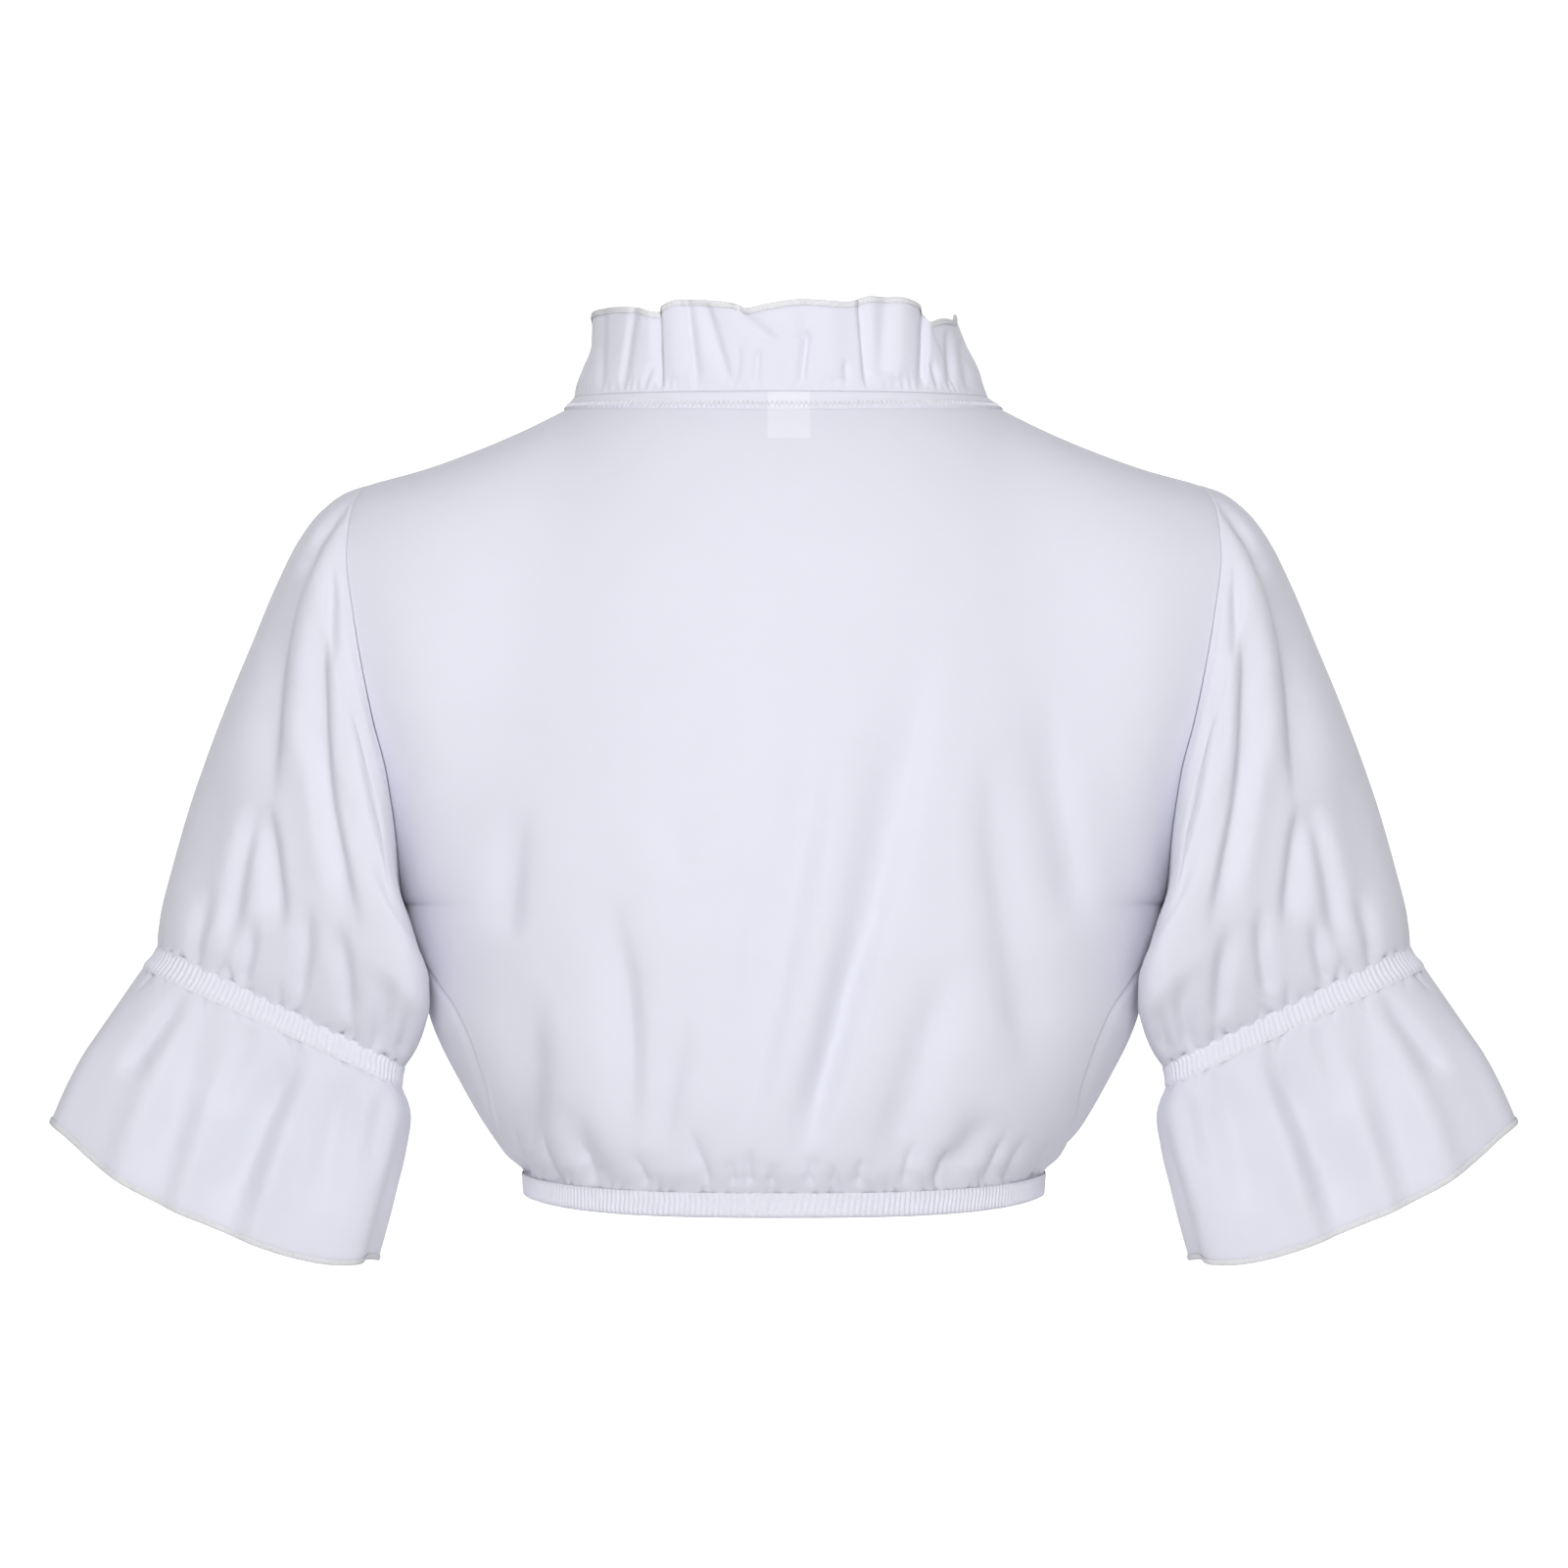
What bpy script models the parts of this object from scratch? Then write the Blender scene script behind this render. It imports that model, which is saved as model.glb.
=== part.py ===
"""Cropped blouse, filled out as if worn: standing ruffle, puffed sleeves, elastic cuffs and hem.

Tables are in millimetres and the meshes in metres. +X is the wearer's right, +Y the front and
+Z up. The origin is midway between the two neck points, where the shoulders carry the blouse.
"""

import math
from typing import NamedTuple

import bpy
import numpy as np

MM = 0.001
SEAM_GAP = 0.4
CLOTH_WALL = 1.4
BAND_WALL = 2.0
LABEL_WALL = 0.6
LABEL_CLEARANCE = 0.4

# The photo was taken from this far behind the garment, with the lens level with this height.
VIEW_DISTANCE = 2500.0
VIEW_HEIGHT = -175.0

BACK = -1
FRONT = 1


class BodyRing(NamedTuple):
    """A level section of the body below the arms. Seam turn moves its side seams back, in degrees."""

    height: float
    half_width: float
    back_depth: float
    front_depth: float
    seam_turn: float


BODY_RINGS = (
    BodyRing(-368, 119, 96, 98, 0),
    BodyRing(-359, 119.5, 97, 99, 0),
    BodyRing(-346, 128, 107, 110, 8),
    BodyRing(-328, 139.5, 113, 118, 20),
    BodyRing(-310, 149.5, 116, 124, 27),
    BodyRing(-292, 158.6, 117, 127, 29),
    BodyRing(-281, 162.6, 116.5, 127.5, 28),
    BodyRing(-262, 166.5, 115, 128, 22),
    BodyRing(-246, 170.5, 113.5, 127.5, 13),
    BodyRing(-230, 174, 112, 126, 0),
)
HEM = -368.0
HEM_SEAM = -359.0
UNDERARM = -230.0
BODY_ROUNDNESS = 0.87
SHOULDER_ROUNDNESS = 0.83
LOWER_STEPS = (0, 5, 13, 25, 42, 64, 84, 107, 129)
UPPER_ROWS = 10
PANEL_COLUMNS = 48
NECK_SHARE = 0.5
SHOULDER_TURN = 1.3
ARMHOLE_REACH = 0.6


class ShoulderPoint(NamedTuple):
    """A point of the shoulder seam, from the neck out to the tip."""

    x: float
    z: float


SHOULDER = (
    ShoulderPoint(101, -4.5),
    ShoulderPoint(119, -13.5),
    ShoulderPoint(140, -22.5),
    ShoulderPoint(165, -31.5),
    ShoulderPoint(191, -38.5),
)


class ArmholePoint(NamedTuple):
    """How far out the armhole seam is at a height."""

    z: float
    x: float


ARMHOLE = (
    ArmholePoint(-230, 174),
    ArmholePoint(-205, 174.5),
    ArmholePoint(-172, 178),
    ArmholePoint(-147, 184),
    ArmholePoint(-120, 189.5),
    ArmholePoint(-100, 193),
    ArmholePoint(-70, 197),
    ArmholePoint(-52, 196),
    ArmholePoint(-38.5, 191),
)
ARMHOLE_DEPTH = {BACK: 57.0, FRONT: 54.0}
ARMHOLE_ROUNDNESS = 0.9


class NeckRing(NamedTuple):
    """A closed ring round the neck. The left and right half widths differ at the ruffle's top."""

    half_left: float
    half_right: float
    back_depth: float
    front_depth: float
    side_z: float
    back_z: float
    front_z: float


NECKLINE = NeckRing(101, 101, 62, 92, -4.5, -8, -95)
BAND_TOP = NeckRing(96.5, 94, 59.5, 89, 1.5, 0.8, -87)
RUFFLE_RINGS = (
    NeckRing(96.5, 94, 59.5, 89, 1.5, 0.8, -87),
    NeckRing(95.5, 92, 59, 88, 7, 6.5, -81),
    NeckRing(92.5, 89.5, 58.5, 87, 15, 14.5, -73),
    NeckRing(88.5, 84, 58, 85, 26, 26, -62),
    NeckRing(88, 78.5, 58, 84, 40, 40, -49),
)
NECK_COLUMNS = 96
FRONT_NECK_ROUNDNESS = 0.9
FRONT_NECK_DROP = 1.3


class TubeRing(NamedTuple):
    """A section of a sleeve: its outermost and innermost points as seen, and its half depth.

    The innermost point lies set_back nearer to the camera, where the sleeve laps over the body.
    """

    outer_x: float
    outer_z: float
    inner_x: float
    inner_z: float
    half_depth: float
    set_back: float


SLEEVE_RINGS = (
    TubeRing(191, -38.5, 174, -230, 57, 0),
    TubeRing(201, -42, 174.6, -234, 59, 10),
    TubeRing(213, -51, 173.8, -238, 59, 19),
    TubeRing(223, -64, 171.8, -242, 57, 27),
    TubeRing(234, -86, 170, -246, 53.5, 34),
    TubeRing(244, -110, 167.8, -251, 50.5, 39),
    TubeRing(254, -134, 165.3, -257, 48, 43),
    TubeRing(264, -160, 163, -266, 46.5, 44),
    TubeRing(273, -186, 162.7, -277, 45.5, 42),
    TubeRing(280.5, -212, 165, -288, 46, 35),
    TubeRing(286.5, -236, 169.5, -299, 46, 23),
    TubeRing(288.5, -252, 174.5, -306.5, 36, 10),
)
BAND_RINGS = (
    TubeRing(288.5, -252, 174.5, -306.5, 36, 10),
    TubeRing(293.5, -258.5, 175.5, -313.5, 36, 10),
)
FLOUNCE_RINGS = (
    TubeRing(293.5, -258.5, 175.5, -313.5, 36, 10),
    TubeRing(303, -272, 171.5, -328, 37.5, 8),
    TubeRing(313, -286.5, 174.5, -345, 39, 6),
    TubeRing(322, -300, 179, -361, 40.5, 4),
    TubeRing(330, -315, 183.5, -378, 42, 2),
    TubeRing(337, -331, 188, -394, 43, 0),
)
# How much the front of a sleeve leans away from the body, for each mm of set back and of depth.
SLEEVE_LEAN = 0.0036
FLOUNCE_SAG = 17.0
SLEEVE_COLUMNS = 40
SLEEVE_ROUNDNESS = {BACK: 0.72, FRONT: 0.9}
CAP_HOLD = (1, 0.8, 0.6, 0.4, 0.2)


class Fold(NamedTuple):
    """A soft trough along a bent line, seen from behind. A ridge has a depth below nought."""

    top_x: float
    top_z: float
    mid_x: float
    mid_z: float
    low_x: float
    low_z: float
    half_width: float
    depth: float


BACK_FOLDS = (
    Fold(12, -108, 0, -252, -23, -353, 9, 2.6),
    Fold(70, -88, 45, -220, 5, -362, 11, 5.0),
    Fold(80, -257, 68, -287, 48, -350, 10, 3.2),
    Fold(96, -151, 103, -227, 118, -315, 12, 3.6),
    Fold(118, -128, 130, -190, 136, -252, 11, 3.0),
    Fold(-118, -158, -125, -202, -127, -245, 10, 3.0),
    Fold(-119, -270, -117, -310, -119, -345, 11, 4.2),
    Fold(-81, -227, -70, -290, -74, -341, 10, 3.2),
    Fold(-38, -260, -49, -303, -56, -338, 9, 2.4),
    Fold(-11, -207, -18, -270, -31, -341, 9, 2.6),
    Fold(30, -120, 20, -240, -4, -345, 14, -2.4),
    Fold(-60, -170, -52, -240, -48, -320, 16, -2.6),
)
FRONT_FOLDS = (
    Fold(-104, -150, -98, -240, -84, -345, 12, 3.6),
    Fold(-52, -190, -50, -270, -42, -350, 11, 3.0),
    Fold(6, -150, 4, -250, -6, -350, 12, 3.2),
    Fold(58, -200, 60, -280, 50, -350, 11, 3.4),
    Fold(108, -160, 104, -250, 92, -345, 12, 3.8),
)
SLEEVE_FOLDS = (
    Fold(197, -48, 210, -55, 221, -64, 6, 2.6),
    Fold(202, -60, 223, -92, 229, -160, 9, -3.4),
    Fold(205, -72, 208, -96, 208, -124, 8, 3.0),
    Fold(212, -96, 212, -175, 197, -252, 11, 5.0),
    Fold(242, -184, 250, -213, 256, -246, 9, 3.0),
    Fold(236, -192, 232, -220, 231, -248, 8, 2.6),
)
FLOUNCE_FOLDS = (Fold(222, -300, 238, -325, 257, -372, 10, 4.0),)

BODY_GATHERS = (2, 4, 7, 9, 12, 14, 17, 19, 21, 24, 26, 28, 31, 33, 36, 38, 40, 43, 45, 47)
BODY_GATHER_DEPTH = 2.6
BODY_GATHER_LENGTH = 34.0
SLEEVE_GATHER_DEPTH = 2.4
SLEEVE_GATHER_ROWS = 3.2
FLOUNCE_WAVE_DEPTH = 3.4

# Gathers and waves differ in size by this share, and a fold eases in over this part of its line.
UNEVENNESS = 0.35
FOLD_FADE = 0.25
# Sleeve folds are full on the sides that face back and front, and fade at the outline.
OUTLINE_FADE = 1.6


class RuffleFold(NamedTuple):
    """A fold of the ruffle at the back: where it starts at the band and where it ends on top."""

    base_x: float
    top_x: float
    half_width: float
    depth: float


RUFFLE_FOLDS = (
    RuffleFold(-75.6, -69, 5, 3.0),
    RuffleFold(-57, -57, 5, 4.4),
    RuffleFold(-39, -45, 6, 3.0),
    RuffleFold(-23, -35.5, 6, 2.6),
    RuffleFold(-6, -20, 8, 2.2),
    RuffleFold(7, 9.5, 6, 4.0),
    RuffleFold(28, 26, 5, 2.2),
    RuffleFold(38.7, 34.6, 5, 4.2),
    RuffleFold(50, 48, 6, 2.4),
    RuffleFold(64, 65, 5, 4.0),
    RuffleFold(77, 76, 5, 2.6),
)
FRONT_RUFFLE_WAVES = 16
FRONT_RUFFLE_DEPTH = 3.4

LABEL_COLUMNS = (23.45, 24, 24.88)
LABEL_LOW_ROW = 17.1
LABEL_BAND_SHARE = 0.75

CLOTH_COLOUR = (0.83, 0.84, 0.88, 1.0)
ELASTIC_COLOUR = (0.80, 0.81, 0.86, 1.0)
LABEL_COLOUR = (0.92, 0.92, 0.93, 1.0)


class Piece:
    """A cloth piece: its outer surface as a grid of points, with what its wall needs."""

    def __init__(self, name, grid, wall, colour, roughness, closed, halfway=False):
        self.name = name
        self.outer = grid
        self.wall = wall
        self.colour = colour
        self.roughness = roughness
        self.closed = closed
        self.halfway = halfway
        if np.sum(grid_normals(grid, closed) * (grid - grid.mean((0, 1)))) < 0:
            self.outer = np.roll(grid[:, ::-1], 1, axis=1) if closed else grid[:, ::-1]
        self.normal = grid_normals(self.outer, closed)
        self.inner = self.outer


def column(table, name):
    return np.array([getattr(row, name) for row in table], float)


def between(knots, values, at):
    """Smooth values between the rows of a table, with no overshoot."""
    knots, values = np.asarray(knots, float), np.asarray(values, float)
    at = np.clip(np.asarray(at, float), knots[0], knots[-1])
    step = np.diff(knots)
    slope = np.diff(values) / step
    tangent = np.concatenate([slope[:1], np.zeros(len(slope) - 1), slope[-1:]])
    rising = slope[1:] * slope[:-1] > 0
    total = np.where(rising, slope[1:] + slope[:-1], 1)
    tangent[1:-1] = np.where(rising, 2 * slope[1:] * slope[:-1] / total, 0)
    k = np.clip(np.searchsorted(knots, at, side="right") - 1, 0, len(step) - 1)
    f = (at - knots[k]) / step[k]
    return (
        values[k] * (1 + 2 * f) * (1 - f) ** 2
        + values[k + 1] * f**2 * (3 - 2 * f)
        + step[k] * f * (1 - f) * (tangent[k] * (1 - f) - tangent[k + 1] * f)
    )


def ease(value):
    """0 below 0, 1 above 1, and a soft rise between."""
    value = np.clip(value, 0, 1)
    return value * value * (3 - 2 * value)


def power(value, exponent):
    return np.sign(value) * np.abs(value) ** exponent


def unit(vectors):
    return vectors / np.maximum(np.linalg.norm(vectors, axis=-1, keepdims=True), 1e-9)


def grid_normals(grid, closed):
    """Outward or inward normals of a grid, by the mean of the faces round each point."""
    ring = np.concatenate([grid, grid[:, :1]], axis=1) if closed else grid
    across = ring[:, 1:] - ring[:, :-1]
    up = ring[1:] - ring[:-1]
    faces = unit(np.cross(across[:-1] + across[1:], up[:, :-1] + up[:, 1:]))
    rows, columns = grid.shape[:2]
    total = np.zeros((rows, columns + closed, 3))
    for i in (0, 1):
        for j in (0, 1):
            total[i : i + rows - 1, j : j + faces.shape[1]] += faces
    if closed:
        total[:, 0] += total[:, -1]
        total = total[:, :-1]
    return unit(total)


def seen(points):
    """Where points appear in the photo, across and up, at the scale of the plane y = 0."""
    scale = VIEW_DISTANCE / (VIEW_DISTANCE + points[..., 1])
    return points[..., 0] * scale, VIEW_HEIGHT + (points[..., 2] - VIEW_HEIGHT) * scale


def unseen(x, y, z):
    """The points at depth y that appear at x, z in the photo, at the scale of the plane y = 0."""
    scale = VIEW_DISTANCE / (VIEW_DISTANCE + y)
    return np.stack([x / scale, y, VIEW_HEIGHT + (z - VIEW_HEIGHT) / scale], axis=-1)


def fold_depths(folds, x, z):
    """How deep the folds of a table press at these places."""
    depth = np.zeros_like(x)
    for fold in folds:
        heights = (fold.low_z, fold.mid_z, fold.top_z)
        line = between(heights, (fold.low_x, fold.mid_x, fold.top_x), z)
        length = fold.top_z - fold.low_z
        along = (z - fold.low_z) / length
        fade = ease(along / FOLD_FADE + 0.6) * ease((1 - along) / FOLD_FADE + 0.6)
        depth += fold.depth * fade * np.exp(-(((x - line) / fold.half_width) ** 2))
    return depth


def torso_ring(side, across, height):
    """Points of a level section. Across runs from -1 at the left seam to 1 at the right."""
    heights = column(BODY_RINGS, "height")
    turn = np.radians(between(heights, column(BODY_RINGS, "seam_turn"), height))
    angle = across * (math.pi / 2 + side * turn)
    x = between(heights, column(BODY_RINGS, "half_width"), height)
    x = x * power(np.sin(angle), BODY_ROUNDNESS)
    forward = side * power(np.cos(angle), BODY_ROUNDNESS)
    back = between(heights, column(BODY_RINGS, "back_depth"), height)
    front = between(heights, column(BODY_RINGS, "front_depth"), height)
    y = np.where(forward < 0, back, front) * forward
    return np.stack(np.broadcast_arrays(x, y, height), axis=-1)


def neck_ring(ring, side, turn):
    """Points of half a neck ring. Turn runs from -1 at the left neck point to 1 at the right."""
    sine = np.sin(turn * math.pi / 2)
    cosine = np.abs(np.cos(turn * math.pi / 2))
    x = np.where(turn < 0, ring.half_left, ring.half_right) * sine
    if side == BACK:
        y = -ring.back_depth * cosine
        z = ring.side_z + (ring.back_z - ring.side_z) * cosine**2
    else:
        y = ring.front_depth * cosine**FRONT_NECK_ROUNDNESS
        z = ring.side_z + (ring.front_z - ring.side_z) * cosine**FRONT_NECK_DROP
    return np.stack([x, y, z], axis=-1)


def panel_top(side, across):
    """The neckline, with a shoulder seam at each end of it."""
    neck = neck_ring(NECKLINE, side, np.clip(across / NECK_SHARE, -1, 1))
    out = np.clip((np.abs(across) - NECK_SHARE) / (1 - NECK_SHARE), 0, 1)
    x = SHOULDER[0].x + (SHOULDER[-1].x - SHOULDER[0].x) * out
    z = between(column(SHOULDER, "x"), column(SHOULDER, "z"), x)
    seam = np.stack([np.sign(across) * x, np.zeros_like(x), z], axis=-1)
    return np.where((np.abs(across) > NECK_SHARE)[..., None], seam, neck)


def armhole(side, rise):
    """Points of the right armhole. Rise runs from 0 under the arm to 1 at the shoulder tip."""
    top, low = SHOULDER[-1].z, UNDERARM
    z = (top + low) / 2 - (top - low) / 2 * np.cos(math.pi * rise)
    x = between(column(ARMHOLE, "z"), column(ARMHOLE, "x"), z)
    y = side * ARMHOLE_DEPTH[side] * np.abs(np.sin(math.pi * rise)) ** ARMHOLE_ROUNDNESS
    return np.stack([x, y, z], axis=-1)


def over_shoulder(side, across, rise):
    """The body above the arms: up from the underarm section and over to the panel's top."""
    foot = torso_ring(side, across, np.full_like(across, UNDERARM))
    top = panel_top(side, across)
    reach = np.where(np.abs(foot[..., 1]) > 1e-6, foot[..., 1], 1)
    share = np.clip(top[..., 1] / reach, 0, 1)
    end = np.arccos(share ** (1 / SHOULDER_ROUNDNESS))
    turn = end * rise**SHOULDER_TURN
    lift = (np.sin(turn) / np.sin(end)) ** SHOULDER_ROUNDNESS
    points = foot + (top - foot) * lift[..., None]
    points[..., 1] = foot[..., 1] * np.abs(np.cos(turn)) ** SHOULDER_ROUNDNESS
    return points


def panel_base(side):
    """The back or the front before its folds, as rows from hem to shoulder."""
    across = np.linspace(-1, 1, PANEL_COLUMNS + 1)
    lower = [torso_ring(side, across, np.full_like(across, HEM_SEAM + s)) for s in LOWER_STEPS]
    upper = []
    edge = np.sign(across)
    pull = ease((np.abs(across) - 1 + ARMHOLE_REACH) / ARMHOLE_REACH)[..., None]
    for row in range(1, UPPER_ROWS + 1):
        rise = row / UPPER_ROWS
        points = over_shoulder(side, across, rise)
        target = armhole(side, np.full_like(across, rise))
        target[..., 0] *= edge
        ends = over_shoulder(side, np.where(edge < 0, -1.0, 1.0), rise)
        upper.append(points + pull * (target - ends))
    return np.array(lower + upper)


def panel_grid(side, folds):
    """The back or the front with its long folds and the gathers at the hem."""
    grid = panel_base(side)
    normal = grid_normals(grid, False)
    rows, columns = grid.shape[:2]
    row, place = np.mgrid[0:rows, 0:columns]
    x, z = seen(grid)
    depth = fold_depths(folds, x, z)
    above = (grid[..., 2] - HEM_SEAM) / BODY_GATHER_LENGTH
    for count, start in enumerate(BODY_GATHERS):
        size = 1 + UNEVENNESS * math.sin(2.4 * count)
        shape = np.maximum(0, 1 - np.abs(place - start))
        depth += BODY_GATHER_DEPTH * size * shape * ease(1.3 - above / size)
    inset = np.minimum(place, columns - 1 - place) * (row > 0) * (rows - 1 - row)
    outward = 1 if np.sum(normal[..., 1]) * side > 0 else -1
    return grid - outward * normal * (depth * ease(inset / 2))[..., None]


def tube_ring(ring, side, turn):
    """A section of a sleeve. Turn is 0 outermost, a quarter at the back, a half innermost."""
    angle = 2 * math.pi * turn
    middle = ((ring.outer_x + ring.inner_x) / 2, (ring.outer_z + ring.inner_z) / 2)
    half = ((ring.outer_x - ring.inner_x) / 2, (ring.outer_z - ring.inner_z) / 2)
    facing_back = np.sin(angle) > 0
    rounding = np.where(facing_back, SLEEVE_ROUNDNESS[BACK], SLEEVE_ROUNDNESS[FRONT])
    reach = power(np.cos(angle), rounding)
    shift = ring.set_back * (1 - reach) / 2
    behind = power(np.sin(angle), rounding)
    y = -shift - behind * (ring.half_depth + np.where(behind < 0, shift, 0))
    x = middle[0] + half[0] * reach + SLEEVE_LEAN * shift * np.maximum(y + shift, 0)
    return unseen(side * x, y, middle[1] + half[1] * reach)


def tube_grid(rings, side):
    turn = np.arange(SLEEVE_COLUMNS) / SLEEVE_COLUMNS
    return np.array([tube_ring(ring, side, turn) for ring in rings])


def armhole_ring(side):
    """The armhole's points in the order of a sleeve's columns."""
    turn = np.arange(SLEEVE_COLUMNS) / SLEEVE_COLUMNS
    back = armhole(BACK, 1 - 2 * turn)
    front = armhole(FRONT, 2 * turn - 1)
    points = np.where((turn <= 0.5)[:, None], back, front)
    points[1::2] = (points[::2] + np.roll(points[::2], -1, axis=0)) / 2
    return points * (side, 1, 1)


def pressed(grid, depth):
    """The grid of a tube moved inward by these depths."""
    normal = grid_normals(grid, True)
    outward = np.sign(np.sum(normal * (grid - grid.mean((0, 1)))))
    return grid - outward * normal * depth[..., None]


def arm_fold_depths(folds, grid):
    """Fold depths on a sleeve or flounce, the same on both sleeves and on the hidden side."""
    turn = np.arange(grid.shape[1]) / grid.shape[1]
    facing = ease(np.abs(np.sin(2 * math.pi * turn)) * OUTLINE_FADE)
    behind = np.stack([np.abs(grid[..., 0]), -np.abs(grid[..., 1]), grid[..., 2]], axis=-1)
    return fold_depths(folds, *seen(behind)) * facing


def sleeve_grid(side):
    """A puffed sleeve from the armhole to its elastic band."""
    grid = tube_grid(SLEEVE_RINGS, side)
    start = armhole_ring(side) - grid[0]
    for row, hold in enumerate(CAP_HOLD):
        grid[row] += hold * start
    rows, columns = grid.shape[:2]
    row, place = np.mgrid[0:rows, 0:columns]
    depth = arm_fold_depths(SLEEVE_FOLDS, grid)
    size = 1 + UNEVENNESS * np.sin(1.9 * place)
    near = (rows - 1 - row) / (SLEEVE_GATHER_ROWS * size)
    depth += SLEEVE_GATHER_DEPTH * size * (place % 2) * ease(1.3 - near)
    return pressed(grid, depth * (row > 0) * (row < rows - 1))


def flounce_grid(side):
    """A flared flounce, waved more and more towards its free edge."""
    grid = tube_grid(FLOUNCE_RINGS, side)
    rows, columns = grid.shape[:2]
    row, place = np.mgrid[0:rows, 0:columns]
    share = row / (rows - 1)
    grid[..., 2] -= FLOUNCE_SAG * share**2 * np.sin(2 * math.pi * place / columns) ** 2
    depth = arm_fold_depths(FLOUNCE_FOLDS, grid)
    size = 1 + UNEVENNESS * np.sin(1.9 * place)
    depth += FLOUNCE_WAVE_DEPTH * size * (place % 2 - 0.5) * ease(2 * share)
    return pressed(grid, depth * (row > 0))


def neck_grid(rings):
    """Closed rings round the neck, back half first."""
    half = NECK_COLUMNS // 2
    turn = np.linspace(-1, 1, half + 1)
    rows = []
    for ring in rings:
        back = neck_ring(ring, BACK, turn)[:-1]
        front = neck_ring(ring, FRONT, turn)[:0:-1]
        rows.append(np.concatenate([back, front]))
    return np.array(rows)


def neckband_grid():
    """The band above the neckline, whose seam follows the panels' straight facets."""
    grid = neck_grid((NECKLINE, BAND_TOP))
    even = grid[0, ::2]
    grid[0, 1::2] = (even + np.roll(even, -1, axis=0)) / 2
    return grid


def ruffle_grid():
    """The standing ruffle, its back folds placed by hand and its front waves even."""
    grid = neck_grid(RUFFLE_RINGS)
    rows, columns = grid.shape[:2]
    row, place = np.mgrid[0:rows, 0:columns]
    share = row / (rows - 1)
    x, _ = seen(grid)
    back = place < columns // 2
    depth = np.zeros_like(x)
    for fold in RUFFLE_FOLDS:
        line = fold.base_x + (fold.top_x - fold.base_x) * share
        depth += fold.depth * back * np.exp(-(((x - line) / fold.half_width) ** 2))
    wave = 2 * math.pi * FRONT_RUFFLE_WAVES * (place - columns / 2) / (columns / 2)
    lull = 1 + UNEVENNESS * np.sin(0.7 * place)
    depth += FRONT_RUFFLE_DEPTH * lull * ~back * (0.5 - 0.5 * np.cos(wave))
    return pressed(grid, depth * ease(1.6 * share))


def casing_grid():
    """The elastic casing round the hem."""
    across = np.linspace(-1, 1, PANEL_COLUMNS + 1)
    rows = []
    for height in (HEM, HEM_SEAM):
        level = np.full_like(across, height)
        back = torso_ring(BACK, across, level)[:-1]
        front = torso_ring(FRONT, across, level)[:0:-1]
        rows.append(np.concatenate([back, front]))
    return np.array(rows)


def square_to(edge, step, closed):
    """The part of each step that is square to the edge it starts on."""
    if closed:
        along = unit(np.roll(edge, -1, axis=0) - np.roll(edge, 1, axis=0))
    else:
        along = unit(np.gradient(edge, axis=0))
    return unit(step - along * np.sum(step * along, axis=-1, keepdims=True))


def inward_steps(piece):
    """For each point on an edge, the way into the piece."""
    outer = piece.outer
    way = np.zeros_like(outer)
    way[0] += square_to(outer[0], outer[1] - outer[0], piece.closed)
    way[-1] += square_to(outer[-1], outer[-2] - outer[-1], piece.closed)
    if not piece.closed:
        way[:, 0] += square_to(outer[:, 0], outer[:, 1] - outer[:, 0], False)
        way[:, -1] += square_to(outer[:, -1], outer[:, -2] - outer[:, -1], False)
    return way


def meeting_points(pieces):
    """Every point that two or more pieces share, as lists of piece number, row and column."""
    places = {}
    for number, piece in enumerate(pieces):
        rows, columns = piece.outer.shape[:2]
        for i in range(rows):
            for j in range(columns):
                on_edge = i in (0, rows - 1) or (not piece.closed and j in (0, columns - 1))
                if on_edge:
                    key = tuple(np.round(piece.outer[i, j], 2) + 0.0)
                    places.setdefault(key, []).append((number, i, j))
    return [found for found in places.values() if len(found) > 1]


def corner_stretch(piece):
    """How much longer the step through the wall is where the faces round a point lean."""
    outer = piece.outer
    ring = np.concatenate([outer[:, -1:], outer, outer[:, :1]], axis=1) if piece.closed else outer
    across = unit(ring[:, 1:] - ring[:, :-1])
    if piece.closed:
        before, after = across[:, :-1], across[:, 1:]
    else:
        before = np.concatenate([across[:, :1], across], axis=1)
        after = np.concatenate([across, across[:, -1:]], axis=1)
    opening = np.clip(np.sum(before * after, axis=-1), -1, 1)
    return 1 / np.maximum(0.75, np.sqrt((1 + opening) / 2))


def sew(pieces):
    """Turns surfaces into walls that meet along shared edges with a narrow gap between them."""
    ways = [inward_steps(piece) for piece in pieces]
    own = [piece.normal.copy() for piece in pieces]
    stretch = [corner_stretch(piece) for piece in pieces]
    shift = [np.zeros_like(piece.outer) for piece in pieces]
    for found in meeting_points(pieces):
        shared = unit(sum(own[n][i, j] for n, i, j in found))
        lean = min(float(np.dot(shared, own[n][i, j])) for n, i, j in found)
        for n, i, j in found:
            others = [ways[m][k, p] for m, k, p in found if m != n]
            away = ways[n][i, j] - sum(others) / max(1, len(others))
            shift[n][i, j] = unit(away) * SEAM_GAP / 2
            pieces[n].normal[i, j] = shared
            stretch[n][i, j] = 1 / max(0.6, lean)
    for piece, move, long in zip(pieces, shift, stretch):
        inner = piece.outer - piece.normal * (piece.wall * long)[..., None]
        piece.outer = piece.outer + move
        piece.inner = inner + move
        if piece.halfway:
            set_halfway(piece)


def set_halfway(piece):
    """Puts each odd point of the first row midway between its neighbours."""
    for points in (piece.outer, piece.inner):
        even = points[0, ::2]
        points[0, 1::2] = (even + np.roll(even, -1, axis=0)) / 2


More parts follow.
